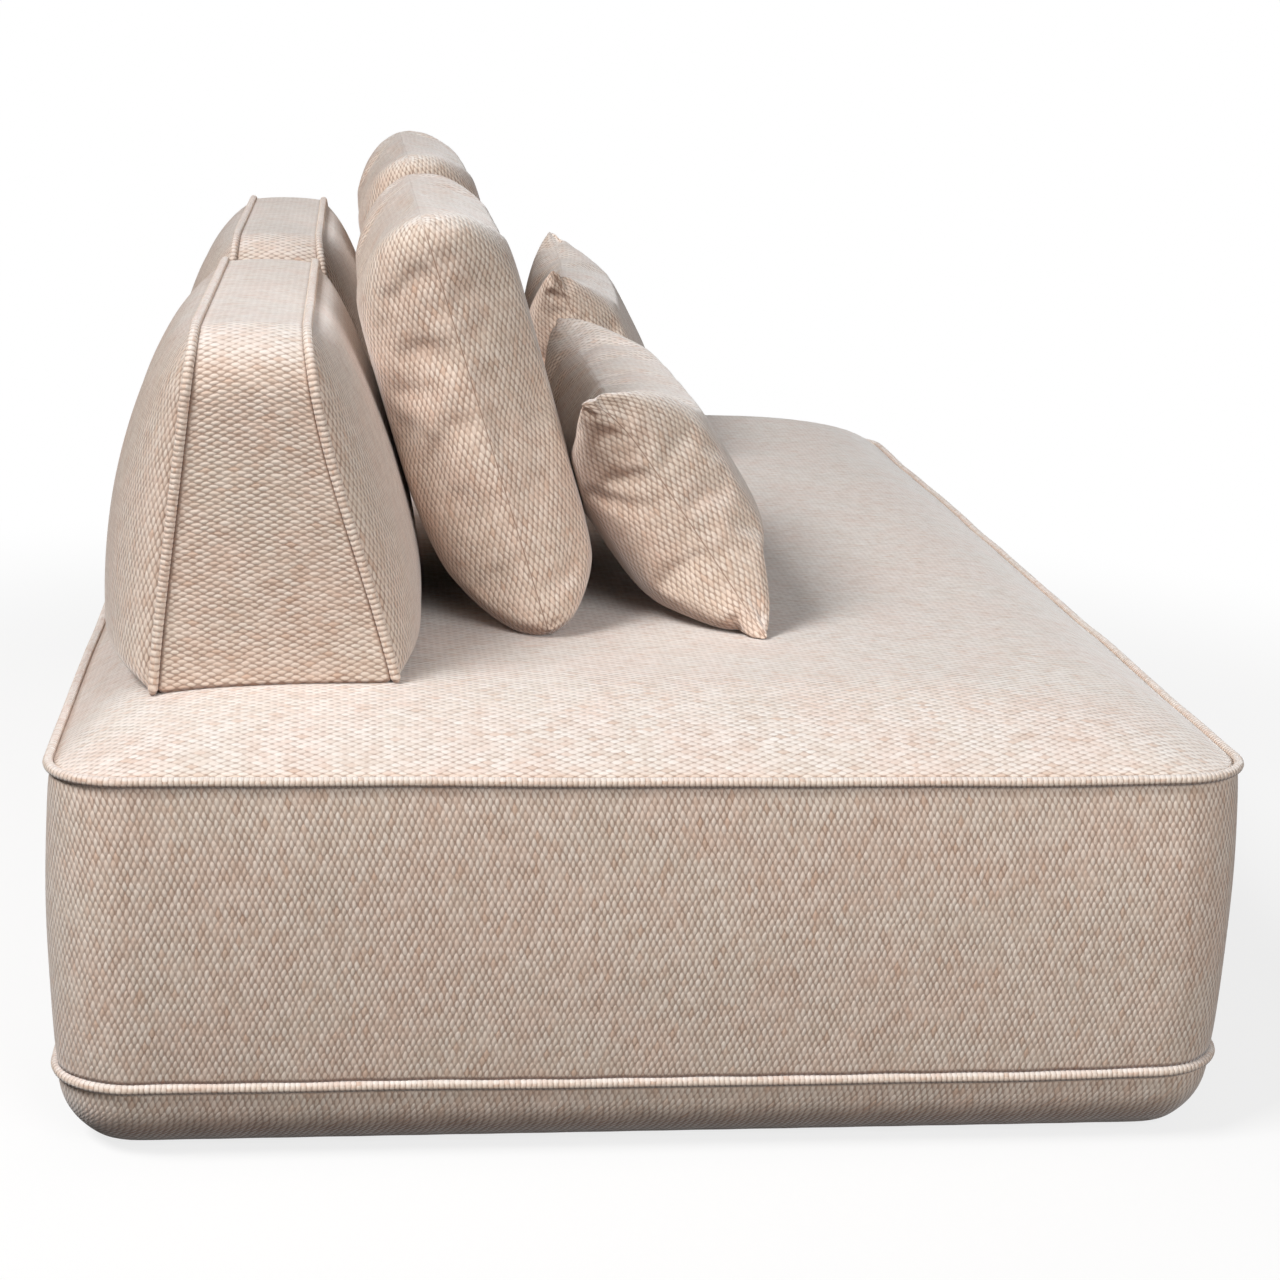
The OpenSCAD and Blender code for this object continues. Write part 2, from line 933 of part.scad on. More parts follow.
// How far a grid reaches in a direction in the plane across the sofa
function reach_of(grid, way) = max([for (row = grid) for (p = row) p[1] * way[1] + p[2] * way[2]]);

down = [0, 0, -1];
function backward(angle) = [0, cos(angle), -sin(angle)];

// Height of a leaned cushion's middle, so that it rests on the seat
function rest_z(front, rear) = seat_level + rest_gap + max(reach_of(front, down), reach_of(rear, down));

// Depth at which a grid at height z leans on a wall: two rounded forms touch where some
// plane parts them, so the deepest place that any slanted plane allows is the place of touch
plane_angles = [0 : 3 : 39];
function lean_y(grid, z, wall, wall_y, wall_z) = max([
    for (angle = plane_angles)
        let (
            way = backward(angle),
            stop = -reach_of(wall, -way) + wall_y * way[1] + wall_z * way[2]
        )
            (stop - lean_gap - reach_of(grid, way) - z * way[2]) / way[1]
]);

// A back cushion leans on the backrest's front panel
function cushion_z(lean) = rest_z(leaned(cushion_grid(-1, 0), lean), leaned(cushion_grid(1, 0), lean));
function cushion_y(lean) = lean_y(
    leaned(cushion_grid(1, 0), lean), cushion_z(lean), panel_grid(-1, 0, front_bulge), 0, 0
);

// A scatter cushion leans on the front of a back cushion of some other lean
function scatter_z(bulge, lean) = rest_z(
    leaned(scatter_grid(-1, bulge, 0), lean), leaned(scatter_grid(1, bulge, 0), lean)
);
function scatter_y(bulge, lean, rest) = lean_y(
    leaned(scatter_grid(1, bulge, 0), lean), scatter_z(bulge, lean),
    leaned(cushion_grid(-1, 0), rest), cushion_y(rest), cushion_z(rest)
);

module cushion_place(x, lean) {
    translate([x, cushion_y(lean), cushion_z(lean)])
        rotate([-lean, 0, 0])
            children();
}

// A turned cushion stands off by as much as its near end turns back
module scatter_place(x, bulge, lean, rest, turn) {
    stand_off = scatter_length / 2 * sin(turn);
    translate([x, scatter_y(bulge, lean, rest) - stand_off, scatter_z(bulge, lean)])
        rotate([0, 0, -turn])
            rotate([-lean, 0, 0])
                children();
}

module at_left_cushion() {
    cushion_place(left_cushion_x, left_cushion_lean)
        children();
}

module at_right_cushion() {
    cushion_place(right_cushion_x, right_cushion_lean)
        children();
}

module at_left_scatter() {
    scatter_place(left_scatter_x, left_scatter_bulge, left_scatter_lean, left_cushion_lean, 0)
        children();
}

module at_right_scatter() {
    scatter_place(
        right_scatter_x, right_scatter_bulge, right_scatter_lean, right_cushion_lean, right_scatter_turn
    )
        children();
}

module cushion_cover(side) {
    color(cloth_color)
        cover_half(side, cushion_grid(side, 0), cushion_grid(side, cloth));
}

module scatter_cover(side, bulge) {
    color(cloth_color)
        cover_half(side, scatter_grid(side, bulge, 0), scatter_grid(side, bulge, cloth));
}

module cover_half(side, outer, inner) {
    if (side < 0)
        between(outer, inner);
    else
        between(inner, outer);
}

module cushion_pad() {
    color(fill_color)
        between(cushion_grid(-1, cloth + layer_gap), cushion_grid(1, cloth + layer_gap));
}

module scatter_pad(bulge) {
    color(fill_color)
        between(
            scatter_grid(-1, bulge, cloth + layer_gap),
            scatter_grid(1, bulge, cloth + layer_gap)
        );
}

// Places along the sofa

left_backrest_x = -half_x + left_backrest_inset + backrest_x;
right_backrest_x = -half_x + right_backrest_inset + backrest_x;
left_cushion_x = left_backrest_x - backrest_x + cushion_shift + cushion_length / 2;
right_cushion_x = right_backrest_x - backrest_x + cushion_shift + cushion_length / 2;
left_scatter_x = left_cushion_x - cushion_length / 2 + left_scatter_shift + scatter_length / 2;
right_scatter_x = right_cushion_x - cushion_length / 2 + right_scatter_shift + scatter_length / 2;

module at_left_backrest() {
    translate([left_backrest_x, 0, 0])
        children();
}

module at_right_backrest() {
    translate([right_backrest_x, 0, 0])
        children();
}

side_rails();
end_rails();
cross_rails();
plinth();
corner_blocks();
frame_screws();
long_webbing();
cross_webbing();
seat_foam();
seat_topper();
border_foam();
roll_foam();
top_cover();
border_cover();
under_band();
top_piping();
lower_piping();
dust_cloth();
glides();
glide_screws();
at_left_backrest() backrest_foam();  // left_backrest_foam
at_left_backrest() backrest_board();  // left_backrest_board
at_left_backrest() backrest_ballast();  // left_backrest_ballast
at_left_backrest() backrest_gusset();  // left_backrest_gusset
at_left_backrest() backrest_panel(-1, front_bulge);  // left_backrest_front
at_left_backrest() backrest_panel(1, rear_bulge);  // left_backrest_rear
at_left_backrest() seam_piping(-1);  // left_backrest_front_piping
at_left_backrest() seam_piping(1);  // left_backrest_rear_piping
at_left_backrest() backrest_grip_mat();  // left_backrest_grip_mat
at_right_backrest() backrest_foam();  // right_backrest_foam
at_right_backrest() backrest_board();  // right_backrest_board
at_right_backrest() backrest_ballast();  // right_backrest_ballast
at_right_backrest() backrest_gusset();  // right_backrest_gusset
at_right_backrest() backrest_panel(-1, front_bulge);  // right_backrest_front
at_right_backrest() backrest_panel(1, rear_bulge);  // right_backrest_rear
at_right_backrest() seam_piping(-1);  // right_backrest_front_piping
at_right_backrest() seam_piping(1);  // right_backrest_rear_piping
at_right_backrest() backrest_grip_mat();  // right_backrest_grip_mat
at_left_cushion() cushion_pad();  // left_cushion_pad
at_left_cushion() cushion_cover(-1);  // left_cushion_front
at_left_cushion() cushion_cover(1);  // left_cushion_rear
at_right_cushion() cushion_pad();  // right_cushion_pad
at_right_cushion() cushion_cover(-1);  // right_cushion_front
at_right_cushion() cushion_cover(1);  // right_cushion_rear
at_left_scatter() scatter_pad(left_scatter_bulge);  // left_scatter_pad
at_left_scatter() scatter_cover(-1, left_scatter_bulge);  // left_scatter_front
at_left_scatter() scatter_cover(1, left_scatter_bulge);  // left_scatter_rear
at_right_scatter() scatter_pad(right_scatter_bulge);  // right_scatter_pad
at_right_scatter() scatter_cover(-1, right_scatter_bulge);  // right_scatter_front
at_right_scatter() scatter_cover(1, right_scatter_bulge);  // right_scatter_rear
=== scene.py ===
# %% [markdown]
# # A low upholstered sofa
# This lesson dresses a packed sofa in its woven cover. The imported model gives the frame, the
# bodies and every size, and the lesson adds what the eye sees: sewn panels, corded piping,
# filled cushions and the cloth itself. It starts by loading the model as a fixed frame.

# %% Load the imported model
import math
from collections import namedtuple

import bmesh
import bpy
import numpy as np
from mathutils import Matrix, Vector
from mathutils.bvhtree import BVHTree


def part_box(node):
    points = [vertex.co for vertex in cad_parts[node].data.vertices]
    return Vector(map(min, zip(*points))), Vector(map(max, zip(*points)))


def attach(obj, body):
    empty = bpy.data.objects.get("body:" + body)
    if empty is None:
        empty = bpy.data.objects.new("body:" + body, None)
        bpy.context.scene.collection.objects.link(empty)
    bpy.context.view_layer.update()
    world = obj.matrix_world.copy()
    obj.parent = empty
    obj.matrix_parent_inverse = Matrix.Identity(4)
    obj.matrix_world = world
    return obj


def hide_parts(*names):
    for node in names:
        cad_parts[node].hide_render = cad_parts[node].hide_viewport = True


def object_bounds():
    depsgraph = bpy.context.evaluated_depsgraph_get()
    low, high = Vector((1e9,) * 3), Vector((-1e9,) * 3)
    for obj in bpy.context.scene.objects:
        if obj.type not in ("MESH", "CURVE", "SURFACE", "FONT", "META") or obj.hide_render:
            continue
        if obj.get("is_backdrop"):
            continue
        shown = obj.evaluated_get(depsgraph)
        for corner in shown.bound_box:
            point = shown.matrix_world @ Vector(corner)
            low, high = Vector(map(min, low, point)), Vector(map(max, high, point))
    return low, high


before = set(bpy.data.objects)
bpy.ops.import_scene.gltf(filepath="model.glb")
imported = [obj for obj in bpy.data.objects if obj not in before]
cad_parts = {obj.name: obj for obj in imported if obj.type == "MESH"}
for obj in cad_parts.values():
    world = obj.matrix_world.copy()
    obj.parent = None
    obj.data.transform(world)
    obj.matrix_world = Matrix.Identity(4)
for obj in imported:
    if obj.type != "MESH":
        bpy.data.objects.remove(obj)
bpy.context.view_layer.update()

# %% [markdown]
# ## The camera
# The picture was taken from near the sofa's left end, a little above it. The camera could be
# placed by eye, but here its place, its two angles and its small roll were worked out from the
# corners of the platform, so that the sofa's sizes and the picture agree. There is no shift.

# %% The camera
CAMERA_PLACE = Vector((-3.0909, 0.2971, 1.0868))
CAMERA_YAW = 0.1223
CAMERA_DIP = 0.2559
CAMERA_ROLL = 0.0361
CAMERA_LENS = 69.125
SENSOR_WIDTH = 36.0

ahead = Vector((
    math.cos(CAMERA_DIP) * math.cos(CAMERA_YAW),
    -math.cos(CAMERA_DIP) * math.sin(CAMERA_YAW),
    -math.sin(CAMERA_DIP),
))
level = Vector((-math.sin(CAMERA_YAW), -math.cos(CAMERA_YAW), 0))
upward = level.cross(ahead)
side_axis = math.cos(CAMERA_ROLL) * level + math.sin(CAMERA_ROLL) * upward
up_axis = -math.sin(CAMERA_ROLL) * level + math.cos(CAMERA_ROLL) * upward

camera_data = bpy.data.cameras.new("camera")
camera_data.lens = CAMERA_LENS
camera_data.sensor_width = SENSOR_WIDTH
camera = bpy.data.objects.new("camera", camera_data)
camera.matrix_world = Matrix.Translation(CAMERA_PLACE) @ Matrix(
    (side_axis, up_axis, -ahead)
).transposed().to_4x4()
bpy.context.scene.collection.objects.link(camera)
bpy.context.scene.camera = camera
print("camera at", tuple(round(x, 3) for x in camera.location))

# %% [markdown]
# ## Colours and nodes
# A colour that is read off a screen is an sRGB value, and a shader wants linear light, so one
# function turns a hex code to linear. One small function adds a node with its settings and links,
# and short ones on top of it say what materials repeat: a sum, a sum on vectors, a fade and a mix
# of two colours. So every material below can be read in the order in which its nodes work.

# %% Helpers for materials
def linear(code):
    """A hex colour as linear red, green, blue and alpha."""
    parts = [int(code[i:i + 2], 16) / 255 for i in (1, 3, 5)]
    return [p / 12.92 if p <= 0.04045 else ((p + 0.055) / 1.055) ** 2.4 for p in parts] + [1]


def node(tree, kind, inputs=None, **settings):
    """Adds one node. inputs maps a socket's name or number to a value or to another socket."""
    made = tree.nodes.new(kind)
    for key, value in settings.items():
        setattr(made, key, value)
    for key, value in (inputs or {}).items():
        if isinstance(value, bpy.types.NodeSocket):
            tree.links.new(value, made.inputs[key])
        else:
            made.inputs[key].default_value = value
    return made


def maths(tree, operation, *values, **settings):
    """One sum on numbers."""
    inputs = dict(enumerate(values))
    return node(tree, "ShaderNodeMath", inputs, operation=operation, **settings).outputs[0]


def vector_maths(tree, operation, *values, output="Vector"):
    """One sum on vectors."""
    inputs = dict(enumerate(values))
    return node(tree, "ShaderNodeVectorMath", inputs, operation=operation).outputs[output]


def fade(tree, value, start, end, at_start, at_end, kind="SMOOTHSTEP"):
    """Goes from at_start to at_end while value goes from start to end."""
    inputs = {0: value, 1: start, 2: end, 3: at_start, 4: at_end}
    return node(tree, "ShaderNodeMapRange", inputs, interpolation_type=kind).outputs[0]


def mixed(tree, share, first, second, kind="MIX"):
    """Two colours mixed, or the first one multiplied by the second."""
    inputs = {0: share, 6: first, 7: second}
    return node(tree, "ShaderNodeMix", inputs, data_type="RGBA", blend_type=kind).outputs[2]


def noise(tree, place, scale, detail, roughness=0.6, distortion=0.0, output=0):
    """Soft noise over a place."""
    inputs = {"Vector": place, "Scale": scale, "Detail": detail, "Roughness": roughness,
              "Distortion": distortion}
    return node(tree, "ShaderNodeTexNoise", inputs).outputs[output]


def eye_or_mirror(tree):
    """1 for the rays that a picture shows, of the camera and of mirrors, and 0 for all others."""
    path = node(tree, "ShaderNodeLightPath").outputs
    return maths(tree, "MAXIMUM", path["Is Camera Ray"], path["Is Glossy Ray"])


def new_material(name):
    """An empty node material with its principled shader."""
    made = bpy.data.materials.new(name)
    made.use_nodes = True
    return made, made.node_tree, made.node_tree.nodes["Principled BSDF"]


def coat(tree, shader, colour, height, strength, relief, numbers):
    """Gives a shader its colour, the relief of its surface and its numbers."""
    bump = node(tree, "ShaderNodeBump", {
        "Strength": strength, "Distance": relief, "Height": height}).outputs[0]
    tree.links.new(colour, shader.inputs["Base Color"])
    tree.links.new(bump, shader.inputs["Normal"])
    for key, value in numbers.items():
        shader.inputs[key].default_value = value


def ramp(tree, factor, stops):
    """A colour ramp from (place, hex colour) pairs."""
    made = node(tree, "ShaderNodeValToRGB", {0: factor})
    elements = made.color_ramp.elements
    while len(elements) < len(stops):
        elements.new(0.5)
    for element, (place, code) in zip(elements, stops):
        element.position = place
        element.color = linear(code)
    return made.outputs[0]


# %% [markdown]
# ## The cover cloth
# The cover is a chunky basket weave in chenille, a velvety yarn. Each float of yarn is a plump
# oval about 4 mm wide and 9 mm long. The columns of floats stand 3.2 mm apart, and each column
# is dropped by half a float against the next one. The yarn is space-dyed, so every float has its
# own tone, between a pinkish sand and a greyish cream, some are rusty, and the tones drift in
# patches. A picture could be repeated over the cloth, but this one is worked out: two lattices,
# half a step apart, give each float its own cell. The distance to the nearer cell's middle gives
# the oval, its dark rim and its height, and the cell's own number gives its tone. The dark rim is
# partly painted shade, the shade that falls into the pockets between the floats. The pattern
# runs on a UV map that holds each panel's cut in metres. An attribute tells how far each place is
# from the nearest seam, and near a seam the colour gets painted shade, the shade that falls into
# the crease where the cloth turns in.
#
# The colour also holds painted light and shade by the way each face looks. Faces that look up
# are painted paler, with narrower and weaker rims, as if lit from above. Faces that look to the
# side are painted warmer and a little darker, and faces that look down are painted in shade. The
# chenille's velvety gleam comes from the shader's sheen.

# %% The cover cloth
# width: the step from one column of a lattice to the next; half_width, half_length: of a float;
# drop: how far the second lattice is moved against the first, in steps; relief: of the floats.
Weave = namedtuple("Weave", "width half_width half_length drop relief")
BASKET = Weave(0.0064, half_width=0.0021, half_length=0.0047, drop=(0.5, 0.5, 0.5), relief=0.0008)
RIB_PITCH = 0.0052
RIBS = Weave(
    RIB_PITCH, half_width=0.0022, half_length=0.0085, drop=(0.0, 0.5, 0.5), relief=0.0006)
FLOAT_REPEAT = 0.0133
SWAY_SCALE, SWAY = 60.0, (0.0034, 0.0050, 0)
STRANDS_IN_A_METRE = (1300.0, 330.0, 1.0)
PATCH_SCALE, DRIFT_SCALE = 11.0, 38.0
CHANCE_WEIGHT, DRIFT_WEIGHT, STRAND_WEIGHT, LEAST_TONE = 0.34, 0.5, 0.34, 0.01

SANDS = [
    (0.0, "#c29d8a"), (0.22, "#ddc2b3"), (0.5, "#ecd9ce"), (0.78, "#f4e7df"), (1.0, "#faf2ec"),
]
CREAMS = [
    (0.0, "#b9a192"), (0.22, "#d8c7ba"), (0.5, "#eadfd5"), (0.78, "#f3ebe4"), (1.0, "#fbf6f1"),
]
RUST = "#cfa68a"
# RIM: the colour of the rim between floats, which is partly painted shade, and of the painted seam
# shade.
RIM = "#7c5238"
# Painted shade tints: a warm one for faces that look to the side, a darker one for faces that look
# down.
SIDE_SHADE_TINT = "#fff7ee"
UNDER_SHADE_TINT = "#aa9990"

RIM_RANGE, RIM_STRENGTH = (0.62, 1.22), 0.64
# Across FACING_UP the top is painted paler and the sides warmer; across FACING_DOWN shade is
# painted in.
FACING_UP, FACING_DOWN = (0.3, 0.95), (-0.2, -0.62)
# The share of the rim left on faces that look up, under the painted top light.
RIM_SHARE_IN_PAINTED_TOP_LIGHT = 0.86
# Painted shade along the seams: its strength, and how far it reaches on panels and on cushions.
SEAM_SHADE_STRENGTH = 0.8
PANEL_SEAM_SHADE, CUSHION_SEAM_SHADE = 0.005, 0.0011


def cover_cloth(name, weave, seam=None):
    """Chenille on the UV map named cut, in metres; painted shade near seams, painted light and
    shade by facing.
    """
    made, tree, shader = new_material(name)
    cut = node(tree, "ShaderNodeUVMap", uv_map="cut").outputs[0]
    place = node(tree, "ShaderNodeTexCoord").outputs["Object"]

    # The rows of floats wander a little, as loose yarn does.
    sway = noise(tree, cut, SWAY_SCALE, 3.0, roughness=0.5, output="Color")
    sway = vector_maths(tree, "SUBTRACT", sway, (0.5, 0.5, 0.5))
    swayed = vector_maths(tree, "MULTIPLY_ADD", sway, SWAY, cut)

    # Two lattices of cells: the distance from each cell's middle, and each cell's number.
    distances, cells = [], []
    first = vector_maths(tree, "MULTIPLY", swayed, (1 / weave.width, 1 / FLOAT_REPEAT, 0))
    oval = (weave.width / weave.half_width, FLOAT_REPEAT / weave.half_length, 0)
    for step in ((0.0, 0.0, 0.0), weave.drop):
        lattice = vector_maths(tree, "ADD", first, step)
        inside = vector_maths(tree, "FRACTION", lattice)
        centred = vector_maths(tree, "SUBTRACT", inside, (0.5, 0.5, step[2]))
        scaled = vector_maths(tree, "MULTIPLY", centred, oval)
        distances.append(vector_maths(tree, "LENGTH", scaled, output="Value"))
        floor = vector_maths(tree, "FLOOR", lattice)
        cells.append(vector_maths(tree, "ADD", floor, step))
    nearer = maths(tree, "LESS_THAN", *distances)
    away = maths(tree, "MINIMUM", *distances)
    cell = node(tree, "ShaderNodeMix", {0: nearer, 4: cells[1], 5: cells[0]},
                data_type="VECTOR").outputs[1]
    chance = node(tree, "ShaderNodeTexWhiteNoise", {"Vector": cell}, noise_dimensions="3D")
    chances = node(tree, "ShaderNodeSeparateColor", {0: chance.outputs["Color"]}).outputs

    # Wide patches of hue, smaller drifts of tone, and the strands of the yarn itself.
    patches = noise(tree, place, PATCH_SCALE, 4.0)
    drift = noise(tree, place, DRIFT_SCALE, 3.0)
    strands = noise(tree, vector_maths(tree, "MULTIPLY", cut, STRANDS_IN_A_METRE), 1.0, 2.0)

    # The tone of a float is a weighted sum of chance, drift and strands.
    tone = maths(tree, "MULTIPLY_ADD", chances[0], CHANCE_WEIGHT, LEAST_TONE)
    tone = maths(tree, "MULTIPLY_ADD", drift, DRIFT_WEIGHT, tone)
    tone = maths(tree, "MULTIPLY_ADD", strands, STRAND_WEIGHT, tone)
    hue = fade(tree, patches, 0.38, 0.62, 0.1, 0.75)
    hue = maths(tree, "MULTIPLY_ADD", chances[1], 0.3, hue)
    yarn = mixed(tree, hue, ramp(tree, tone, SANDS), ramp(tree, tone, CREAMS))
    rusty = fade(tree, chances[2], 0.86, 1.0, 0.0, 0.4, kind="LINEAR")
    yarn = mixed(tree, rusty, yarn, linear(RUST))

    # The dark rim between floats, partly painted shade in the pockets between them. It is painted
    # narrower and weaker where the cloth faces up: painted light on the top.
    normal = node(tree, "ShaderNodeNewGeometry").outputs["Normal"]
    facing = node(tree, "ShaderNodeSeparateXYZ", {0: normal}).outputs["Z"]
    painted_top_light = fade(tree, facing, *FACING_UP, 1.0, RIM_SHARE_IN_PAINTED_TOP_LIGHT)
    slender = maths(tree, "MULTIPLY_ADD", chances[1], 0.24, 0.88)
    near_rim = maths(tree, "MULTIPLY", maths(tree, "MULTIPLY", away, painted_top_light), slender)
    rim = fade(tree, near_rim, *RIM_RANGE, 0.0, RIM_STRENGTH)
    depth = maths(tree, "MULTIPLY_ADD", drift, 1.3, 0.3, use_clamp=True)
    rim = maths(tree, "MULTIPLY", maths(tree, "MULTIPLY", rim, depth), painted_top_light)
    # Painted shade in the crease along a seam, weaker where the cloth faces up, in the rim's
    # colour.
    if seam:
        edge = node(tree, "ShaderNodeAttribute", attribute_name="edge").outputs["Fac"]
        painted_seam_shade = fade(tree, edge, 0.0, seam, SEAM_SHADE_STRENGTH, 0.0)
        seam_shade_facing = fade(tree, facing, 0.2, 0.8, 1.0, 0.3, kind="LINEAR")
        rim = maths(tree, "MAXIMUM", rim, maths(tree, "MULTIPLY", painted_seam_shade, seam_shade_facing))
    colour = mixed(tree, rim, yarn, linear(RIM))

    # Painted shade by facing: a warm darkening on faces that look to the side, and shade on faces
    # that look down.
    painted_side_shade = fade(tree, facing, *FACING_UP, 1.0, 0.0)
    colour = mixed(tree, painted_side_shade, colour, linear(SIDE_SHADE_TINT), kind="MULTIPLY")
    painted_under_shade = fade(tree, facing, *FACING_DOWN, 0.0, 1.0)
    colour = mixed(tree, painted_under_shade, colour, linear(UNDER_SHADE_TINT), kind="MULTIPLY")

    plump = fade(tree, away, 0.1, 1.2, 1.0, 0.0)
    height = maths(tree, "MULTIPLY_ADD", strands, 0.3, plump)
    coat(tree, shader, colour, height, 0.8, weave.relief, {
        "Roughness": 0.92, "Specular IOR Level": 0.2, "Sheen Weight": 0.6,
        "Sheen Roughness": 0.5})
    return made


# The same woven chenille three times: on the tight panels; on the loose cushions, whose seams are
# finer, so their painted seam shade is narrower; and cut on the bias round the cords, where each
# column makes a rib and no seam shade is painted.
COVER = cover_cloth("chenille_basket_weave", BASKET, PANEL_SEAM_SHADE)
CUSHION_CLOTH = cover_cloth("chenille_cushion_cover", BASKET, CUSHION_SEAM_SHADE)
PIPING_CLOTH = cover_cloth("chenille_piping_cloth", RIBS)
print("materials:", [m.name for m in bpy.data.materials])

# %% [markdown]
# ## Panels of cloth
# An upholsterer cuts flat panels and sews them together. Here each panel is a flat grid of quads,
# which a function then places in space. The length that the grid's lines have once they are in
# place becomes the panel's UV map, in metres, so the weave keeps its size on every bulge. A
# sculpted mesh would give the same forms, but its weave would have to be unwrapped by hand.

# %% Panels of cloth
CLOTH = 0.002
WELD = 0.00005
NOT_SEWN = 1.0


def cut_lengths(points, axis):
    """How far along the cloth each point of a grid lies, from the grid's middle line."""
    steps = np.linalg.norm(np.diff(points, axis=axis), axis=2)
    lengths = np.cumsum(np.insert(steps, 0, 0.0, axis), axis)
    middle = np.take(lengths, [lengths.shape[axis] // 2], axis)
    return lengths - middle


def add_grid(bm, columns, rows, place, seams="abAB", chart=None):
    """Adds a grid of quads to a bmesh, with place(a, b) for shares a and b from 0 to 1.

    seams names the sides that are sewn: a and A where a is 0 and 1, b and B where b is.
    chart gives the UV map in metres; without it the map is the cloth's own lengths. With the
    word "even" each row is stretched to the middle row's length, so the columns follow the ends.
    """
    layer = bm.loops.layers.uv.get("cut") or bm.loops.layers.uv.new("cut")
    near = bm.verts.layers.float.get("edge") or bm.verts.layers.float.new("edge")
    verts = bmesh.ops.create_grid(bm, x_segments=columns, y_segments=rows, size=0.5)["verts"]
    shares = np.array([v.co[:2] for v in verts]) + 0.5
    column = np.rint(shares[:, 0] * columns).astype(int)
    row = np.rint(shares[:, 1] * rows).astype(int)
    points = np.stack(place(shares[:, 0], shares[:, 1]), axis=1)
    table = np.zeros((columns + 1, rows + 1, 3))
    table[column, row] = points
    across, along = cut_lengths(table, 0), cut_lengths(table, 1)
    edge = np.full_like(across, NOT_SEWN)
    for sign, lengths in (("a", across - across[:1]), ("A", across[-1:] - across),
                          ("b", along - along[:, :1]), ("B", along[:, -1:] - along)):
        if sign in seams:
            edge = np.minimum(edge, lengths)
    if chart == "even":
        across = across * across[-1:, rows // 2] / np.maximum(across[-1:], 1e-6)
    elif chart:
        across, along = chart(*np.meshgrid(
            np.linspace(0, 1, columns + 1), np.linspace(0, 1, rows + 1), indexing="ij"))
    spots = {v: (across[i, j], along[i, j]) for v, i, j in zip(verts, column, row)}
    for v, p, i, j in zip(verts, points, column, row):
        v.co = p
        v[near] = edge[i, j]
    for face in {f for v in verts for f in v.link_faces}:
        face.smooth = True
        for loop in face.loops:
            loop[layer].uv = spots[loop.vert]
    return verts


def face_outward(bm, inside):
    """Turns all faces round if most of them look towards a point inside the piece."""
    bm.normal_update()
    looks = sum(f.normal.dot(f.calc_center_median() - inside) * f.calc_area() for f in bm.faces)
    if looks < 0:
        bmesh.ops.reverse_faces(bm, faces=bm.faces[:])


def to_object(bm, name, material):
    """Makes the bmesh an object in the scene."""
    mesh = bpy.data.meshes.new(name)
    bm.to_mesh(mesh)
    bm.free()
    mesh.materials.append(material)
    made = bpy.data.objects.new(name, mesh)
    bpy.context.scene.collection.objects.link(made)
    return made


def dress(piece, body, nodes):
    """Hangs a finished piece on its body, and lets it stand for its nodes."""
    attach(piece, body)
    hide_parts(*nodes)
    return piece


def smooth_once(made):
    """Subdivides a piece once, the same in the view and in the render."""
    smooth = made.modifiers.new("smooth", "SUBSURF")
    smooth.levels = smooth.render_levels = 1


def sew_panel(name, columns, rows, place, inside, body, nodes, seams, wrap=False):
    """One panel of the cover: a shaped grid, smoothed and given the cloth's thickness."""
    bm = bmesh.new()
    add_grid(bm, columns, rows, place, seams)
    if wrap:
        bmesh.ops.remove_doubles(bm, verts=bm.verts[:], dist=WELD)
    face_outward(bm, inside)
    made = to_object(bm, name, COVER)
    smooth_once(made)
    thick = made.modifiers.new("thickness", "SOLIDIFY")
    thick.thickness = CLOTH
    thick.offset = -1
    return dress(made, body, nodes)


# %% [markdown]
# ## Slow unevenness
# Stuffed cloth is never quite flat. A few long sine waves with odd lengths give a soft unevenness
# that is the same in every run. Noise would do as well, but waves can be kept under a millimetre
# or two exactly, which matters where pieces rest on each other.

# %% Slow unevenness
WAVES = [(7.3, 4.1), (-5.2, 8.7), (12.9, -6.1), (3.3, 15.7), (19.7, 11.3)]
WAVES_TOGETHER = 3.4


def uneven(p, q, seed):
    """A smooth wander between about -1 and 1 over two coordinates in metres."""
    total = 0
    for k, (fp, fq) in enumerate(WAVES):
        total = total + np.sin(fp * p + fq * q + seed * (1.7 + k)) / (1 + 0.35 * k)
    return total / WAVES_TOGETHER


# %% [markdown]
# ## The platform's sizes
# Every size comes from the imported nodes' boxes or repeats the part's own named length, here in
# metres, so that the dressed platform fills the same space as the solid one.

# %% The platform's sizes
HALF_X, HALF_Y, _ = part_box("border_cover")[1]
SEAT_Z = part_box("top_cover")[1].z
piping_low, piping_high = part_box("top_piping")
PIPING = piping_high.z - piping_low.z
TOP_SEAM = (piping_high.z + piping_low.z) / 2
piping_low, piping_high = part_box("lower_piping")
LOW_SEAM = (piping_high.z + piping_low.z) / 2
CORNER = 0.085
BULGE = 0.006
CROWN = 0.061
CROWN_REACH = 0.170
CROWN_POWER = 2.3
CORNER_GROWTH = 0.55
MIDDLE = Vector((0, 0, 0.25))
print("platform:", round(2 * HALF_X, 3), "by", round(2 * HALF_Y, 3), "seat at", round(SEAT_Z, 3))


# %% [markdown]
# ## Walking round the platform
# The border, the band and both pipings follow one outline: a rectangle with round corners. One
# function gives the point and the outward direction at each share of the way round. It walks a
# pivot along the four sides. The outline is a radius away from it, and turns round it at corners.

# %% Walking round the platform
def outline_length(x, y, r):
    """The way round a rectangle of half lengths x and y with corners of radius r."""
    return 4 * (x - r) + 4 * (y - r) + 2 * math.pi * r


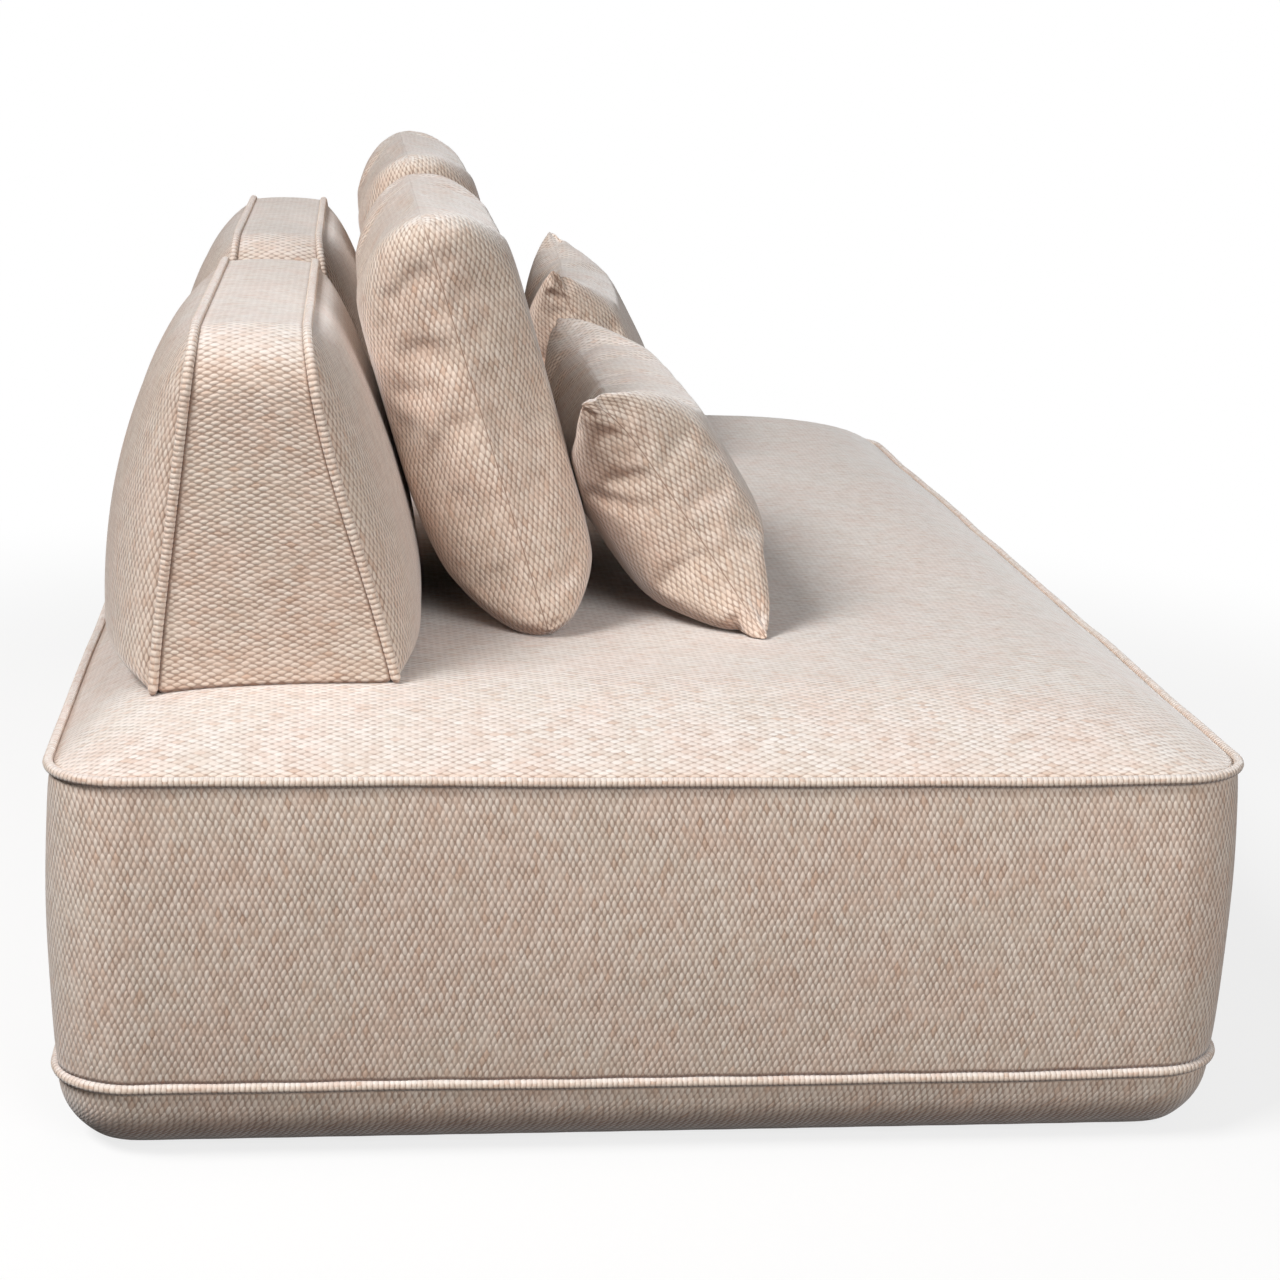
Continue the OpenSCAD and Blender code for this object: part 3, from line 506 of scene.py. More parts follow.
def walk_round(share, x, y, r):
    """Place and outward direction on the outline, from the middle of the rear side."""
    left = np.asarray(share) * outline_length(x, y, r)
    pivot_x, pivot_y = np.zeros_like(left), np.full_like(left, y - r)
    turn, corner = np.full_like(left, math.pi / 2), math.pi * r / 2
    for k, side in enumerate([x - r, 2 * (y - r), 2 * (x - r), 2 * (y - r), x - r]):
        heading = math.pi + k * math.pi / 2
        pivot_x += math.cos(heading) * np.clip(left, 0, side)
        pivot_y += math.sin(heading) * np.clip(left, 0, side)
        turn += np.clip(left - side, 0, corner) / r
        left = left - side - corner
    nx, ny = np.cos(turn), np.sin(turn)
    return pivot_x + r * nx, pivot_y + r * ny, nx, ny


ROUND = outline_length(HALF_X, HALF_Y, CORNER)
print("length round the platform:", round(ROUND, 3))

# %% [markdown]
# ## The border
# The border is a tall band of cloth over a layer of foam, pulled in at both seams, so it swells
# between them by a few millimetres. Near the seams small puckers follow the stitches. It is one
# grid round the whole platform, closed behind. A hand-guided seam is never quite straight, so it
# wanders by a millimetre or two, and everything that is sewn to it wanders along.

# %% The border
SEAM_DIP = 0.004
SEAM_WANDER = 0.0022
BORDER_FULLNESS, BORDER_WANDER = 0.6, 0.0015
PUCKER, PUCKER_PITCH = 0.0009, 0.083
COLUMNS_ROUND = 368


def seam_wave(x, y):
    """How far a sewn seam wanders up or down from its true line."""
    return SEAM_WANDER * uneven(1.9 * x, 1.6 * y, 7.0)


def place_border(a, b):
    """A point of the border, a of the way round it and b of the way up."""
    x, y, nx, ny = walk_round(a, HALF_X, HALF_Y, CORNER)
    z = LOW_SEAM + SEAM_DIP + (TOP_SEAM - LOW_SEAM - 2 * SEAM_DIP) * b + seam_wave(x, y)
    swell = BULGE * np.sin(math.pi * b) ** BORDER_FULLNESS - BULGE
    wander = BORDER_WANDER * uneven(3 * x + 2 * y, z * 2, 1.0) * np.sin(math.pi * b)
    pucker = np.sin(ROUND * a * 2 * math.pi / PUCKER_PITCH + 3 * np.sin(9 * a))
    wander = wander + PUCKER * pucker * (2 * b - 1) ** 4
    away_from_the_join = np.abs(a - 0.5) < 0.499
    out = swell + np.where(away_from_the_join, wander, 0)
    return x + nx * out, y + ny * out, z


border = sew_panel(
    "border", COLUMNS_ROUND, 22, place_border, MIDDLE, "platform", ["border_cover"], "bB",
    wrap=True)
print("border:", len(border.data.polygons), "faces")

# %% [markdown]
# ## The band under the lower seam
# Below the lower piping the cover turns in to the floor over a soft roll of foam. Its section is a
# quarter of an ellipse, with a short tail underneath that is stapled to the plinth.

# %% The band under the lower seam
BAND_REACH = 0.056
BAND_FLOOR = 0.003
BAND_TAIL = 0.012
TAIL_STARTS = 0.88
RIPPLE, RIPPLE_PITCH = 0.0012, 0.061
INSIDE_BAND = Vector((0, 0, 0.06))


def place_band(a, b):
    """A point of the band, a of the way round it and b of the way down."""
    x, y, nx, ny = walk_round(a, HALF_X, HALF_Y, CORNER)
    turn = np.clip(b / TAIL_STARTS, 0, 1) * math.pi / 2
    tail = np.clip((b - TAIL_STARTS) / (1 - TAIL_STARTS), 0, 1) * BAND_TAIL
    top = LOW_SEAM - SEAM_DIP
    ripple = np.sin(ROUND * a * 2 * math.pi / RIPPLE_PITCH + 2 * np.sin(21 * a))
    ripple = RIPPLE * ripple * np.sin(2 * turn)
    out = -BULGE - BAND_REACH + (BAND_REACH + ripple) * np.cos(turn) - tail
    z = top - (top - BAND_FLOOR) * np.sin(turn) + seam_wave(x, y) * (1 - np.sin(turn))
    return x + nx * out, y + ny * out, z


band = sew_panel(
    "under_band", COLUMNS_ROUND, 9, place_band, INSIDE_BAND, "platform", ["under_band"], "b",
    wrap=True)
print("band:", len(band.data.polygons), "faces")

# %% [markdown]
# ## The seat panel
# The seat panel is crowned: it rises from its seam over 170 mm and is level in the middle. The
# grid's square corners are drawn in to the platform's round ones, and the height comes from how
# far each point lies inside the seam. Contours get rounder towards the middle, which is what
# gives the soft corner its look.

# %% The seat panel
EDGE_INSET = 0.009
WAVE_REACH = 0.12
SEAT_WANDER, WANDER_REACH = 0.0012, 0.1
INSET_HALVINGS = 22


def rounded_square(x, y, half_x, half_y, r):
    """Draws the corners of a rectangle in to round ones."""
    p = np.clip((np.abs(x) - (half_x - r)) / r, 0, 1)
    q = np.clip((np.abs(y) - (half_y - r)) / r, 0, 1)
    x = np.where(p > 0, np.sign(x) * (half_x - r + r * p * np.sqrt(1 - q * q / 2)), x)
    y = np.where(q > 0, np.sign(y) * (half_y - r + r * q * np.sqrt(1 - p * p / 2)), y)
    return x, y


def inset_of(x, y):
    """How far inside the seat's seam a point lies, by the contour that passes through it."""
    low, high = np.zeros_like(x), np.full_like(x, CROWN_REACH)
    for _ in range(INSET_HALVINGS):
        middle = (low + high) / 2
        r = CORNER - EDGE_INSET + CORNER_GROWTH * middle
        dx = np.abs(x) - (HALF_X - EDGE_INSET - middle - r)
        dy = np.abs(y) - (HALF_Y - EDGE_INSET - middle - r)
        out = np.hypot(np.maximum(dx, 0), np.maximum(dy, 0))
        out = out + np.minimum(np.maximum(dx, dy), 0) - r
        low = np.where(out < 0, middle, low)
        high = np.where(out < 0, high, middle)
    return low


def crown(inset):
    """How far the seat rises above its seam at a distance inside it."""
    return CROWN * (1 - (1 - np.clip(inset / CROWN_REACH, 0, 1)) ** CROWN_POWER)


def seat_level(x, y):
    """Height of the seat's cloth at a place."""
    inset = inset_of(x, y)
    wave = seam_wave(x, y) * (1 - np.clip(inset / WAVE_REACH, 0, 1)) ** 2
    sag = SEAT_WANDER * (uneven(x, y, 2.0) - 1) * np.clip(inset / WANDER_REACH, 0, 1)
    return TOP_SEAM + wave + crown(inset) + sag


def place_seat(a, b):
    """A point of the seat panel."""
    half_x, half_y = HALF_X - EDGE_INSET, HALF_Y - EDGE_INSET
    x, y = (2 * a - 1) * half_x, (2 * b - 1) * half_y
    x, y = rounded_square(x, y, half_x, half_y, CORNER - EDGE_INSET)
    return x, y, seat_level(x, y)


seat = sew_panel("seat_panel", 104, 66, place_seat, MIDDLE, "platform", ["top_cover"], "abAB")
print("seat panel:", len(seat.data.polygons), "faces")

# %% [markdown]
# ## Piping
# Piping is a cord wrapped in a strip of the cover and sewn into a seam. The weave's columns run
# round the cord, so it looks ribbed, one rib to each column. A curve with a round bevel would be
# smooth, so the tube is a grid instead, wrapped round the seam's line, with four rings to a rib
# that let each rib stand out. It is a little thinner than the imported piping, the ribs lean as in
# a strip cut on the bias, and an open tube has round ends. Its UV map sets the columns of the
# weave on the ribs.

# %% Piping
AROUND = 10
RINGS_TO_A_RIB = 4
RIB_DEPTH = 0.0004
RIB_LEAN = 0.5
TUBE_RADIUS = 0.4 * PIPING
ROUND_END = 0.8
CORD_INSET = BULGE - 0.0005


def piping_tube(name, length, line, closed, body, nodes):
    """A ribbed tube on a line: line(s) gives place, outward and across directions."""
    ribs = max(4, round(length / RIB_PITCH))

    def place(a, b):
        point, out, across = line(a * length)
        turn = b * 2 * math.pi
        rib = np.abs(np.cos(math.pi * ribs * a + RIB_LEAN * np.cos(turn)))
        r = TUBE_RADIUS - RIB_DEPTH * (1 - rib)
        if not closed:
            left = np.clip(np.minimum(a, 1 - a) * length / TUBE_RADIUS, 0, 1)
            r = r * np.sqrt(1 - ROUND_END * (1 - left) ** 2)
        ring = np.cos(turn)[:, None] * out + np.sin(turn)[:, None] * across
        made = point + r[:, None] * ring
        return made[:, 0], made[:, 1], made[:, 2]

    def chart(a, b):
        return (a * ribs + 0.5) * RIB_PITCH, b * math.pi * PIPING

    bm = bmesh.new()
    add_grid(bm, ribs * RINGS_TO_A_RIB, AROUND, place, "", chart)
    bmesh.ops.remove_doubles(bm, verts=bm.verts[:], dist=WELD)
    if not closed:
        holes = [e for e in bm.edges if e.is_boundary]
        bmesh.ops.holes_fill(bm, edges=holes, sides=0)
    bmesh.ops.recalc_face_normals(bm, faces=bm.faces[:])
    made = to_object(bm, name, PIPING_CLOTH)
    return dress(made, body, nodes)


def platform_line(inset, z):
    """The line of a piping round the platform."""
    def line(s):
        x, y, nx, ny = walk_round(s / length, HALF_X - inset, HALF_Y - inset, CORNER - inset)
        point = np.stack([x, y, z + seam_wave(x, y)], axis=1)
        out = np.stack([nx, ny, np.zeros_like(x)], axis=1)
        return point, out, np.broadcast_to(np.array([0.0, 0.0, 1.0]), out.shape)
    length = outline_length(HALF_X - inset, HALF_Y - inset, CORNER - inset)
    return length, line


for name, z in (("top_piping", TOP_SEAM), ("lower_piping", LOW_SEAM)):
    length, line = platform_line(CORD_INSET, z)
    cord = piping_tube(f"{name}_cord", length, line, True, "platform", [name])
    print(cord.name, "is", round(length, 2), "m long,", len(cord.data.polygons), "faces")

# %% [markdown]
# ## The backrests
# A backrest is a wedge of foam in a cover of three panels: a band that goes up one end, over the
# top and down the other, and a crowned panel in front and behind. Both seams are piped. Their
# planes lean towards each other, so the band is wide at the foot and narrow on top.

# %% Sizes of a backrest
GAP_OVER_SEAT, GRIP_MAT = 0.0003, 0.003
FOOT_LEVEL = SEAT_Z + GAP_OVER_SEAT
SHELL_FOOT = FOOT_LEVEL + GRIP_MAT
BACKREST_RISE = 0.336
BACKREST_TOP = SEAT_Z + BACKREST_RISE
BACKREST_HEIGHT = BACKREST_TOP - FOOT_LEVEL
REAR_FOOT_Y, FRONT_FOOT_Y = 0.483, 0.249
REAR_HEAD_Y, FRONT_HEAD_Y = 0.441, 0.337
BACKREST_CORNER = 0.062
BACKREST_HALF = 0.340
FRONT_BULGE, REAR_BULGE = 0.053, 0.073
PIPING_PROUD = 0.005
SEAM_BOW = 0.008
HEM_REACH, HEM_SINK = 0.08, 0.0005


def seam_y(side, z):
    """Where the front (-1) or rear (1) seam lies in depth at a height."""
    foot, head = (FRONT_FOOT_Y, FRONT_HEAD_Y) if side < 0 else (REAR_FOOT_Y, REAR_HEAD_Y)
    share = np.clip((z - FOOT_LEVEL) / BACKREST_HEIGHT, 0, 1)
    bow = SEAM_BOW * np.sin(math.pi * share ** 1.7) if side < 0 else 0
    return foot + (head - foot) * share + bow


def hem(x, y, z):
    """Draws the lowest part of a backrest's cover down to the seat's crowned cloth."""
    drop = SHELL_FOOT - HEM_SINK - seat_level(x, y)
    return z - drop * np.clip(1 - (z - SHELL_FOOT) / HEM_REACH, 0, 1) ** 2


def arch_half(z, inset):
    """Half the length of the arched outline at a height."""
    r = BACKREST_CORNER - inset
    rise = np.clip(z - (BACKREST_TOP - inset - r), 0, r)
    return BACKREST_HALF - inset - r + np.sqrt(np.maximum(r * r - rise * rise, 0))


def arch_walk(share, inset):
    """Up one end, over the top and down the other: x, z, outward direction, whole length."""
    r = BACKREST_CORNER - inset
    x, top = BACKREST_HALF - inset, BACKREST_TOP - inset
    leg, arc, over = top - r - SHELL_FOOT, math.pi * r / 2, 2 * (x - r)
    length = 2 * leg + 2 * arc + over
    s = share * length
    left_turn = np.clip((s - leg) / arc, 0, 1) * math.pi / 2
    right_turn = np.clip((s - leg - arc - over) / arc, 0, 1) * math.pi / 2
    down = np.clip(s - leg - 2 * arc - over, 0, None)
    flat = np.clip(s - leg - arc, 0, over)
    turn = left_turn + right_turn
    nx, nz = -np.cos(turn), np.sin(turn)
    px = -(x - r) + flat + r * nx
    pz = np.minimum(SHELL_FOOT + s, top - r) + r * nz - down
    return px, pz, nx, nz, length


# %% [markdown]
# ## The backrest's panels
# The crowned panels swell fast from the foot and thin out towards the top seam, as foam does that
# stands on its own foot. The band swells only a little between its seams.

# %% The backrest's panels
REAR_CREST, REAR_AT_FOOT = 0.33, 0.84
FRONT_CREST, FRONT_AT_FOOT = 0.49, 0.53
FOOT_TURN = 0.06
END_POWER, END_ROUNDNESS = 3.2, 0.55
PANEL_INSET = PIPING - PIPING_PROUD - 0.003
PANEL_WANDER = 0.0025
GUSSET_TUCK, GUSSET_FULLNESS = 0.0045, 0.7
GUSSET_SWELL, GUSSET_SUNK, GUSSET_WANDER = 0.004, 0.0015, 0.0012
NEARBY = 0.01
INSIDE_BACKREST_Y, INSIDE_BACKREST_Z = 0.37, 0.55


def fullness(side, u, v):
    """How far a panel swells, from 0 to 1, over its length u and its height v."""
    crest, at_foot = (FRONT_CREST, FRONT_AT_FOOT) if side < 0 else (REAR_CREST, REAR_AT_FOOT)
    over = 1 - np.clip((v - crest) / (1 - crest), 0, 1) ** 2
    under = 1 - (1 - at_foot ** 2) * np.clip((crest - v) / crest, 0, 1) ** 2
    rise = np.sqrt(np.clip(np.where(v > crest, over, under), 0, 1))
    turn = np.sqrt(1 - (1 - np.clip(v / FOOT_TURN, 0, 1)) ** 2)
    return rise * turn * np.clip(1 - np.abs(u) ** END_POWER, 0, None) ** END_ROUNDNESS


def panel_face(side, middle_x, x, z):
    """Depth of a crowned panel at a place on it."""
    bulge = FRONT_BULGE if side < 0 else REAR_BULGE
    u = np.clip((x - middle_x) / arch_half(z, PANEL_INSET), -1, 1)
    v = np.clip((z - SHELL_FOOT) / (BACKREST_TOP - PANEL_INSET - SHELL_FOOT), 0, 1)
    full = fullness(side, u, v)
    wander = PANEL_WANDER * uneven(2 * x, 2 * z, 3.0 + side) * full
    return seam_y(side, z) + side * (bulge * full + wander)


def panel_place(side, middle_x):
    """The points of a crowned panel, closer together near its seams."""
    def place(a, b):
        u = -np.cos(math.pi * a)
        rise = (1 - np.cos(math.pi * b)) / 2
        z = SHELL_FOOT + (BACKREST_TOP - PANEL_INSET - SHELL_FOOT) * rise
        x = u * arch_half(z, PANEL_INSET) + middle_x
        y = panel_face(side, middle_x, x, z)
        foot_x = u * arch_half(np.full_like(z, SHELL_FOOT), PANEL_INSET) + middle_x
        return x, y, hem(foot_x, np.full_like(z, seam_y(side, SHELL_FOOT)), z)
    return place


def gusset_place(middle_x):
    """The points of the band between a backrest's two seams."""
    def place(a, b):
        x, z, nx, nz, _ = arch_walk(a, 0.0)
        front, rear = seam_y(-1, z) + GUSSET_TUCK, seam_y(1, z) - GUSSET_TUCK
        y = front + (rear - front) * b
        swell = GUSSET_SWELL * np.sin(math.pi * b) ** GUSSET_FULLNESS - GUSSET_SUNK
        swell = swell + GUSSET_WANDER * uneven(4 * x, 4 * (y + z), 5.0)
        x = x + nx * swell + middle_x
        return x, y, hem(x, y, z + nz * np.maximum(swell, -0.001))
    return place


def seam_line(side, middle_x):
    """The line of a backrest's piping, a little inside the band's corner."""
    tuck = PIPING / 2 - PIPING_PROUD
    flat_length = arch_walk(np.zeros(1), tuck)[-1]

    def line(s):
        x, z, nx, nz, _ = arch_walk(s / flat_length, tuck)
        y = seam_y(side, z)
        lean = (seam_y(side, z + NEARBY) - seam_y(side, z - NEARBY)) / (2 * NEARBY)
        point = np.stack([x + middle_x, y, hem(x + middle_x, y, z)], axis=1)
        out = np.stack([nx, lean * nz, nz], axis=1)
        out = out / np.linalg.norm(out, axis=1)[:, None]
        normal = np.stack([np.zeros_like(x), np.ones_like(x), -lean], axis=1)
        return point, out, normal / np.linalg.norm(normal, axis=1)[:, None]
    return flat_length, line


SEAMS = ((-1, "front"), (1, "rear"))
for hand in ("left", "right"):
    body = f"{hand}_backrest"
    low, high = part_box(f"{body}_gusset")
    middle_x = (low.x + high.x) / 2
    inside = Vector((middle_x, INSIDE_BACKREST_Y, INSIDE_BACKREST_Z))
    sew_panel(f"{body}_band", 150, 20, gusset_place(middle_x), inside, body,
              [f"{body}_gusset"], "bB")
    for side, word in SEAMS:
        sew_panel(f"{body}_{word}_panel", 52, 40, panel_place(side, middle_x), inside, body,
                  [f"{body}_{word}"], "aAB")
    for side, word in SEAMS:
        length, line = seam_line(side, middle_x)
        piping_tube(f"{body}_{word}_piping_cord", length, line, False, body,
                    [f"{body}_{word}_piping"])
    print(body, "dressed at x =", round(middle_x, 3))

# %% [markdown]
# ## Cushions
# A cushion is two panels sewn round their edges and filled. Its sides draw in between its
# corners. Each half has its own fullness, because the front one is free and the rear one is
# pressed where it leans on something. Each half is a grid whose lines are closer near the seam,
# and the halves share the seam's points.

# %% The shape of a cushion
# thick: how far a half swells; fuller_up: how much more it does so at the top than in the middle;
# the powers: how squarely the swelling ends at the two ends, at the foot and at the top.
Half = namedtuple("Half", "thick fuller_up end_power low_power high_power")
# draw: how far the long and the short sides are drawn in; corner: the seam's corner radius; bent:
# how far the two upper corners are bent back; spare_cloth: how much bigger the cloth is cut.
Pillow = namedtuple("Pillow", "half_x half_z front rear draw corner bent spare_cloth")


def pillow_half(side, pillow):
    """One half of a filled cushion, in its own upright frame about the origin."""
    half = pillow.front if side < 0 else pillow.rear

    def place(a, b):
        u, v = -np.cos(math.pi * a), -np.cos(math.pi * b)
        x = u * (pillow.half_x - pillow.draw[0] * (1 - v ** 4))
        z = v * (pillow.half_z - pillow.draw[1] * (1 - u ** 4))
        x, z = rounded_square(x, z, pillow.half_x, pillow.half_z, pillow.corner)
        edge = np.abs(v) ** np.where(v < 0, half.low_power, half.high_power)
        full = np.sqrt(np.clip((1 - np.abs(u) ** half.end_power) * (1 - edge), 0, None))
        swell = half.thick * (1 + half.fuller_up * v) * full
        bent = np.where(u < 0, *pillow.bent) * np.abs(u) ** 6 * np.clip(v, 0, 1) ** 5
        return x, side * swell + bent, z
    return place


# %% [markdown]
# ## Filling the cushions
# The filling pushes the cover out until the cloth is tight, and the spare cloth goes into folds.
# Blender's cloth simulation does just that: pressure swells the closed cover, and a cloth a
# little bigger than the form makes the folds. Sculpting could give one good cushion, but the
# simulation gives all four. No point may move further than a cap, so the sizes stay, and any
# point that would enter the seat, the backrest or another cushion is moved back out of it.

# %% Filling the cushions
FRAMES = 20
FILLING = {
    "quality": 6, "mass": 0.25, "tension_stiffness": 20, "compression_stiffness": 20,
    "shear_stiffness": 8, "bending_stiffness": 1.2, "use_pressure": True,
    "uniform_pressure_force": 5.0, "vertex_group_mass": "seam",
}
MOST_SWELLING = 0.011
SEWN = 1e-6
SEAM_CREASE = 0.35
CLEAR_OF_SEAT, CLEAR = 0.0008, 0.001
OVER_BACKREST = 0.008
SEARCH_REACH = 0.08
CUSHION_GRID = (66, 50)


def points_of(made):
    """The points of an object's mesh as an array."""
    points = np.empty(3 * len(made.data.vertices))
    made.data.vertices.foreach_get("co", points)
    return points.reshape(-1, 3)


def fill_cover(made, spare_cloth):
    """Swells a closed cover by cloth simulation, and returns its points."""
    start = points_of(made)
    cloth = made.modifiers.new("filling", "CLOTH")
    for key, value in FILLING.items():
        setattr(cloth.settings, key, value)
    cloth.settings.shrink_min = -spare_cloth
    cloth.settings.effector_weights.gravity = 0
    cloth.collision_settings.use_collision = False
    cloth.point_cache.frame_start, cloth.point_cache.frame_end = 1, FRAMES
    for number in range(1, FRAMES + 1):
        bpy.context.scene.frame_set(number)
    swollen = made.evaluated_get(bpy.context.evaluated_depsgraph_get())
    points = points_of(swollen)
    made.modifiers.remove(cloth)
    bpy.context.scene.frame_set(1)
    moved = points - start
    far = np.linalg.norm(moved, axis=1)[:, None]
    return start + moved * np.minimum(1, MOST_SWELLING / np.maximum(far, 1e-9))


def keep_out(points, tree):
    """Moves points out of a neighbour."""
    for k, p in enumerate(points):
        near, normal, _, _ = tree.find_nearest(Vector(p), SEARCH_REACH)
        if near is not None and (Vector(p) - near).dot(normal) < CLEAR:
            points[k] = near + normal * CLEAR
    return points


def press(points, backrest_x, behind):
    """Presses a cushion's points flat on the seat, and on the backrest or what is behind it."""
    low = seat_level(points[:, 0], points[:, 1]) + CLEAR_OF_SEAT
    points[:, 2] = np.maximum(points[:, 2], low)
    if behind is not None:
        return keep_out(points, behind)
    wall = panel_face(-1, backrest_x, points[:, 0], points[:, 2]) - CLEAR
    wall = np.minimum(wall, seam_y(-1, points[:, 2]) - PIPING / 2 - CLEAR)
    reached = points[:, 2] < BACKREST_TOP + OVER_BACKREST
    points[:, 1] = np.where(reached, np.minimum(points[:, 1], wall), points[:, 1])
    return points


def make_cushion(body, pillow, lean, turn, middle, backrest_x, behind):
    """Two sewn halves, leaned back, filled, and kept clear of what they rest on."""
    bm = bmesh.new()
    for side in (-1, 1):
        add_grid(bm, *CUSHION_GRID, pillow_half(side, pillow), chart="even")
    bmesh.ops.remove_doubles(bm, verts=bm.verts[:], dist=WELD)
    bmesh.ops.recalc_face_normals(bm, faces=bm.faces[:])
    leaned = Matrix.Rotation(-turn, 3, "Z") @ Matrix.Rotation(-lean, 3, "X")
    bmesh.ops.rotate(bm, verts=bm.verts[:], cent=(0, 0, 0), matrix=leaned)
    bmesh.ops.translate(bm, verts=bm.verts[:], vec=middle)
    crease = bm.edges.layers.float.new("crease_edge")
    near = bm.verts.layers.float["edge"]
    for e in bm.edges:
        if all(v[near] < SEWN for v in e.verts):
            e[crease] = SEAM_CREASE
    sewn = [k for k, v in enumerate(bm.verts) if v[near] < SEWN]
    made = to_object(bm, f"{body}_cover", CUSHION_CLOTH)
    made.vertex_groups.new(name="seam").add(sewn, 1.0, "REPLACE")

    points = press(fill_cover(made, pillow.spare_cloth), backrest_x, behind)
    made.data.vertices.foreach_set("co", points.ravel())
    made.data.update()
    smooth_once(made)
    dress(made, body, [f"{body}_front", f"{body}_rear", f"{body}_pad"])
    return made


# %% The four cushions
BACK_CUSHION = Pillow(
    half_x=0.300, half_z=0.2315,
    front=Half(0.067, 0.08, 9.0, 7.5, 8.0), rear=Half(0.086, -0.06, 9.0, 2.7, 6.8),
    draw=(0.008, 0.008), corner=0.045, bent=(0.0, 0.0), spare_cloth=0.022)
LEFT_SCATTER = Pillow(
    half_x=0.2875, half_z=0.165,
    front=Half(0.066, 0.05, 6.0, 3.6, 4.8), rear=Half(0.080, 0.0, 5.5, 4.4, 5.0),
    draw=(0.030, 0.046), corner=0.026, bent=(0.024, 0.0), spare_cloth=0.03)
RIGHT_SCATTER = Pillow(
    half_x=0.2875, half_z=0.163,
    front=Half(0.052, -0.06, 6.0, 3.6, 4.4), rear=Half(0.084, 0.0, 5.5, 4.4, 5.0),
    draw=(0.030, 0.046), corner=0.022, bent=(0.0, 0.0), spare_cloth=0.03)
# Each cushion's hand and kind, its form, its lean and its turn in degrees, and its middle.
CUSHIONS = [
    ("left", "cushion", BACK_CUSHION, 18.0, 0, (-0.340, 0.1575, 0.6531)),
    ("left", "scatter", LEFT_SCATTER, 35, 0, (-0.3525, -0.0479, 0.5703)),
    ("right", "cushion", BACK_CUSHION, 17.0, 0, (0.535, 0.1551, 0.6537)),
    ("right", "scatter", RIGHT_SCATTER, 27, 4, (0.5375, -0.0673, 0.5818)),
]
behind = None
for hand, kind, pillow, lean, turn, middle in CUSHIONS:
    low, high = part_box(f"{hand}_backrest_gusset")
    made = make_cushion(
        f"{hand}_{kind}", pillow, math.radians(lean), math.radians(turn), middle,
        (low.x + high.x) / 2, None if kind == "cushion" else behind)
    if kind == "cushion":
        behind = BVHTree.FromObject(made, bpy.context.evaluated_depsgraph_get())
    spread = points_of(made)
    print(made.name, "has", len(made.data.polygons), "faces, from",
          spread.min(axis=0).round(3), "to", spread.max(axis=0).round(3))

# %% [markdown]
# ## The pieces inside
# The frame, the webbing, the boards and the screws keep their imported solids, and only get their
# finishes. Sawn pine has long grain, so its pattern is stretched along the board. Plywood shows
# its plies, thin level bands, at the edge.

# %% Finishes of the pieces inside
def plain_finish(name, pale, dark, roughness, scales, relief, metallic=0.0):
    """A finish that wanders between two colours, with its own scale along each axis."""
    made, tree, shader = new_material(name)
    place = node(tree, "ShaderNodeTexCoord").outputs["Object"]
    place = vector_maths(tree, "MULTIPLY", place, scales)
    mottle = noise(tree, place, 1.0, 5.0, distortion=0.4)
    colour = ramp(tree, mottle, [(0.3, dark), (0.7, pale)])
    coat(tree, shader, colour, mottle, 0.5, relief, {"Roughness": roughness, "Metallic": metallic})
    return made


# The nodes of each finish, its name, pale and dark colour, roughness, pattern and relief.
PINE = ("#d8b583", "#b98d57", 0.7)
FINISHES = [
    # Sawn pine: the long yellow grain of a plain frame, along the sofa or across it.
    (["side_rails", "plinth", "corner_blocks"],
     "sawn_pine_along", *PINE, (4, 160, 160), 0.0004),
    (["end_rails", "cross_rails"], "sawn_pine_across", *PINE, (160, 4, 160), 0.0004),
    # Birch plywood: thin pale and darker plies in the edge.
    (["left_backrest_board", "right_backrest_board"],
     "birch_plywood", "#dcbf90", "#b08a58", 0.6, (12, 12, 700), 0.0002),
    # Woven elastic: a dull dark strap with a fine tooth.
    (["long_webbing", "cross_webbing"],
     "elastic_webbing", "#57524c", "#2c2926", 0.85, (900, 900, 900), 0.0004),
    # Pressed fibres: a flat black cloth like felt.
    (["dust_cloth"], "nonwoven_dust_cloth", "#3a3735", "#1f1d1c", 0.95, (700, 700, 700), 0.0002),
    # Moulded rubber: a grey-black mat with no shine.
    (["left_backrest_grip_mat", "right_backrest_grip_mat"],
     "rubber_grip_mat", "#3d3936", "#24211f", 0.8, (500, 500, 500), 0.0004),
    # Moulded nylon: black, with a little shine.
    (["glides"], "black_nylon", "#302e2c", "#222020", 0.45, (400, 400, 400), 0.0001),
    # Zinc-plated steel: a grey metal with cloudy glints.
    (["frame_screws", "glide_screws", "left_backrest_ballast", "right_backrest_ballast"],
     "zinc_plated_steel", "#a4a7aa", "#868a8e", 0.35, (300, 300, 300), 0.0001, 1.0),
]
for names, *look in FINISHES:
    finish = plain_finish(*look)
    for name in names:
        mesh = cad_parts[name].data
        mesh.materials.clear()
        mesh.materials.append(finish)
    print(finish.name, "on", ", ".join(names))

# %% [markdown]
# ## Foam
# Foam is cut from a block: it is cream, with open pores and soft edges. Each foam is a copy of its
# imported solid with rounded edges, and a whisker smaller, so that it stays behind the cover.

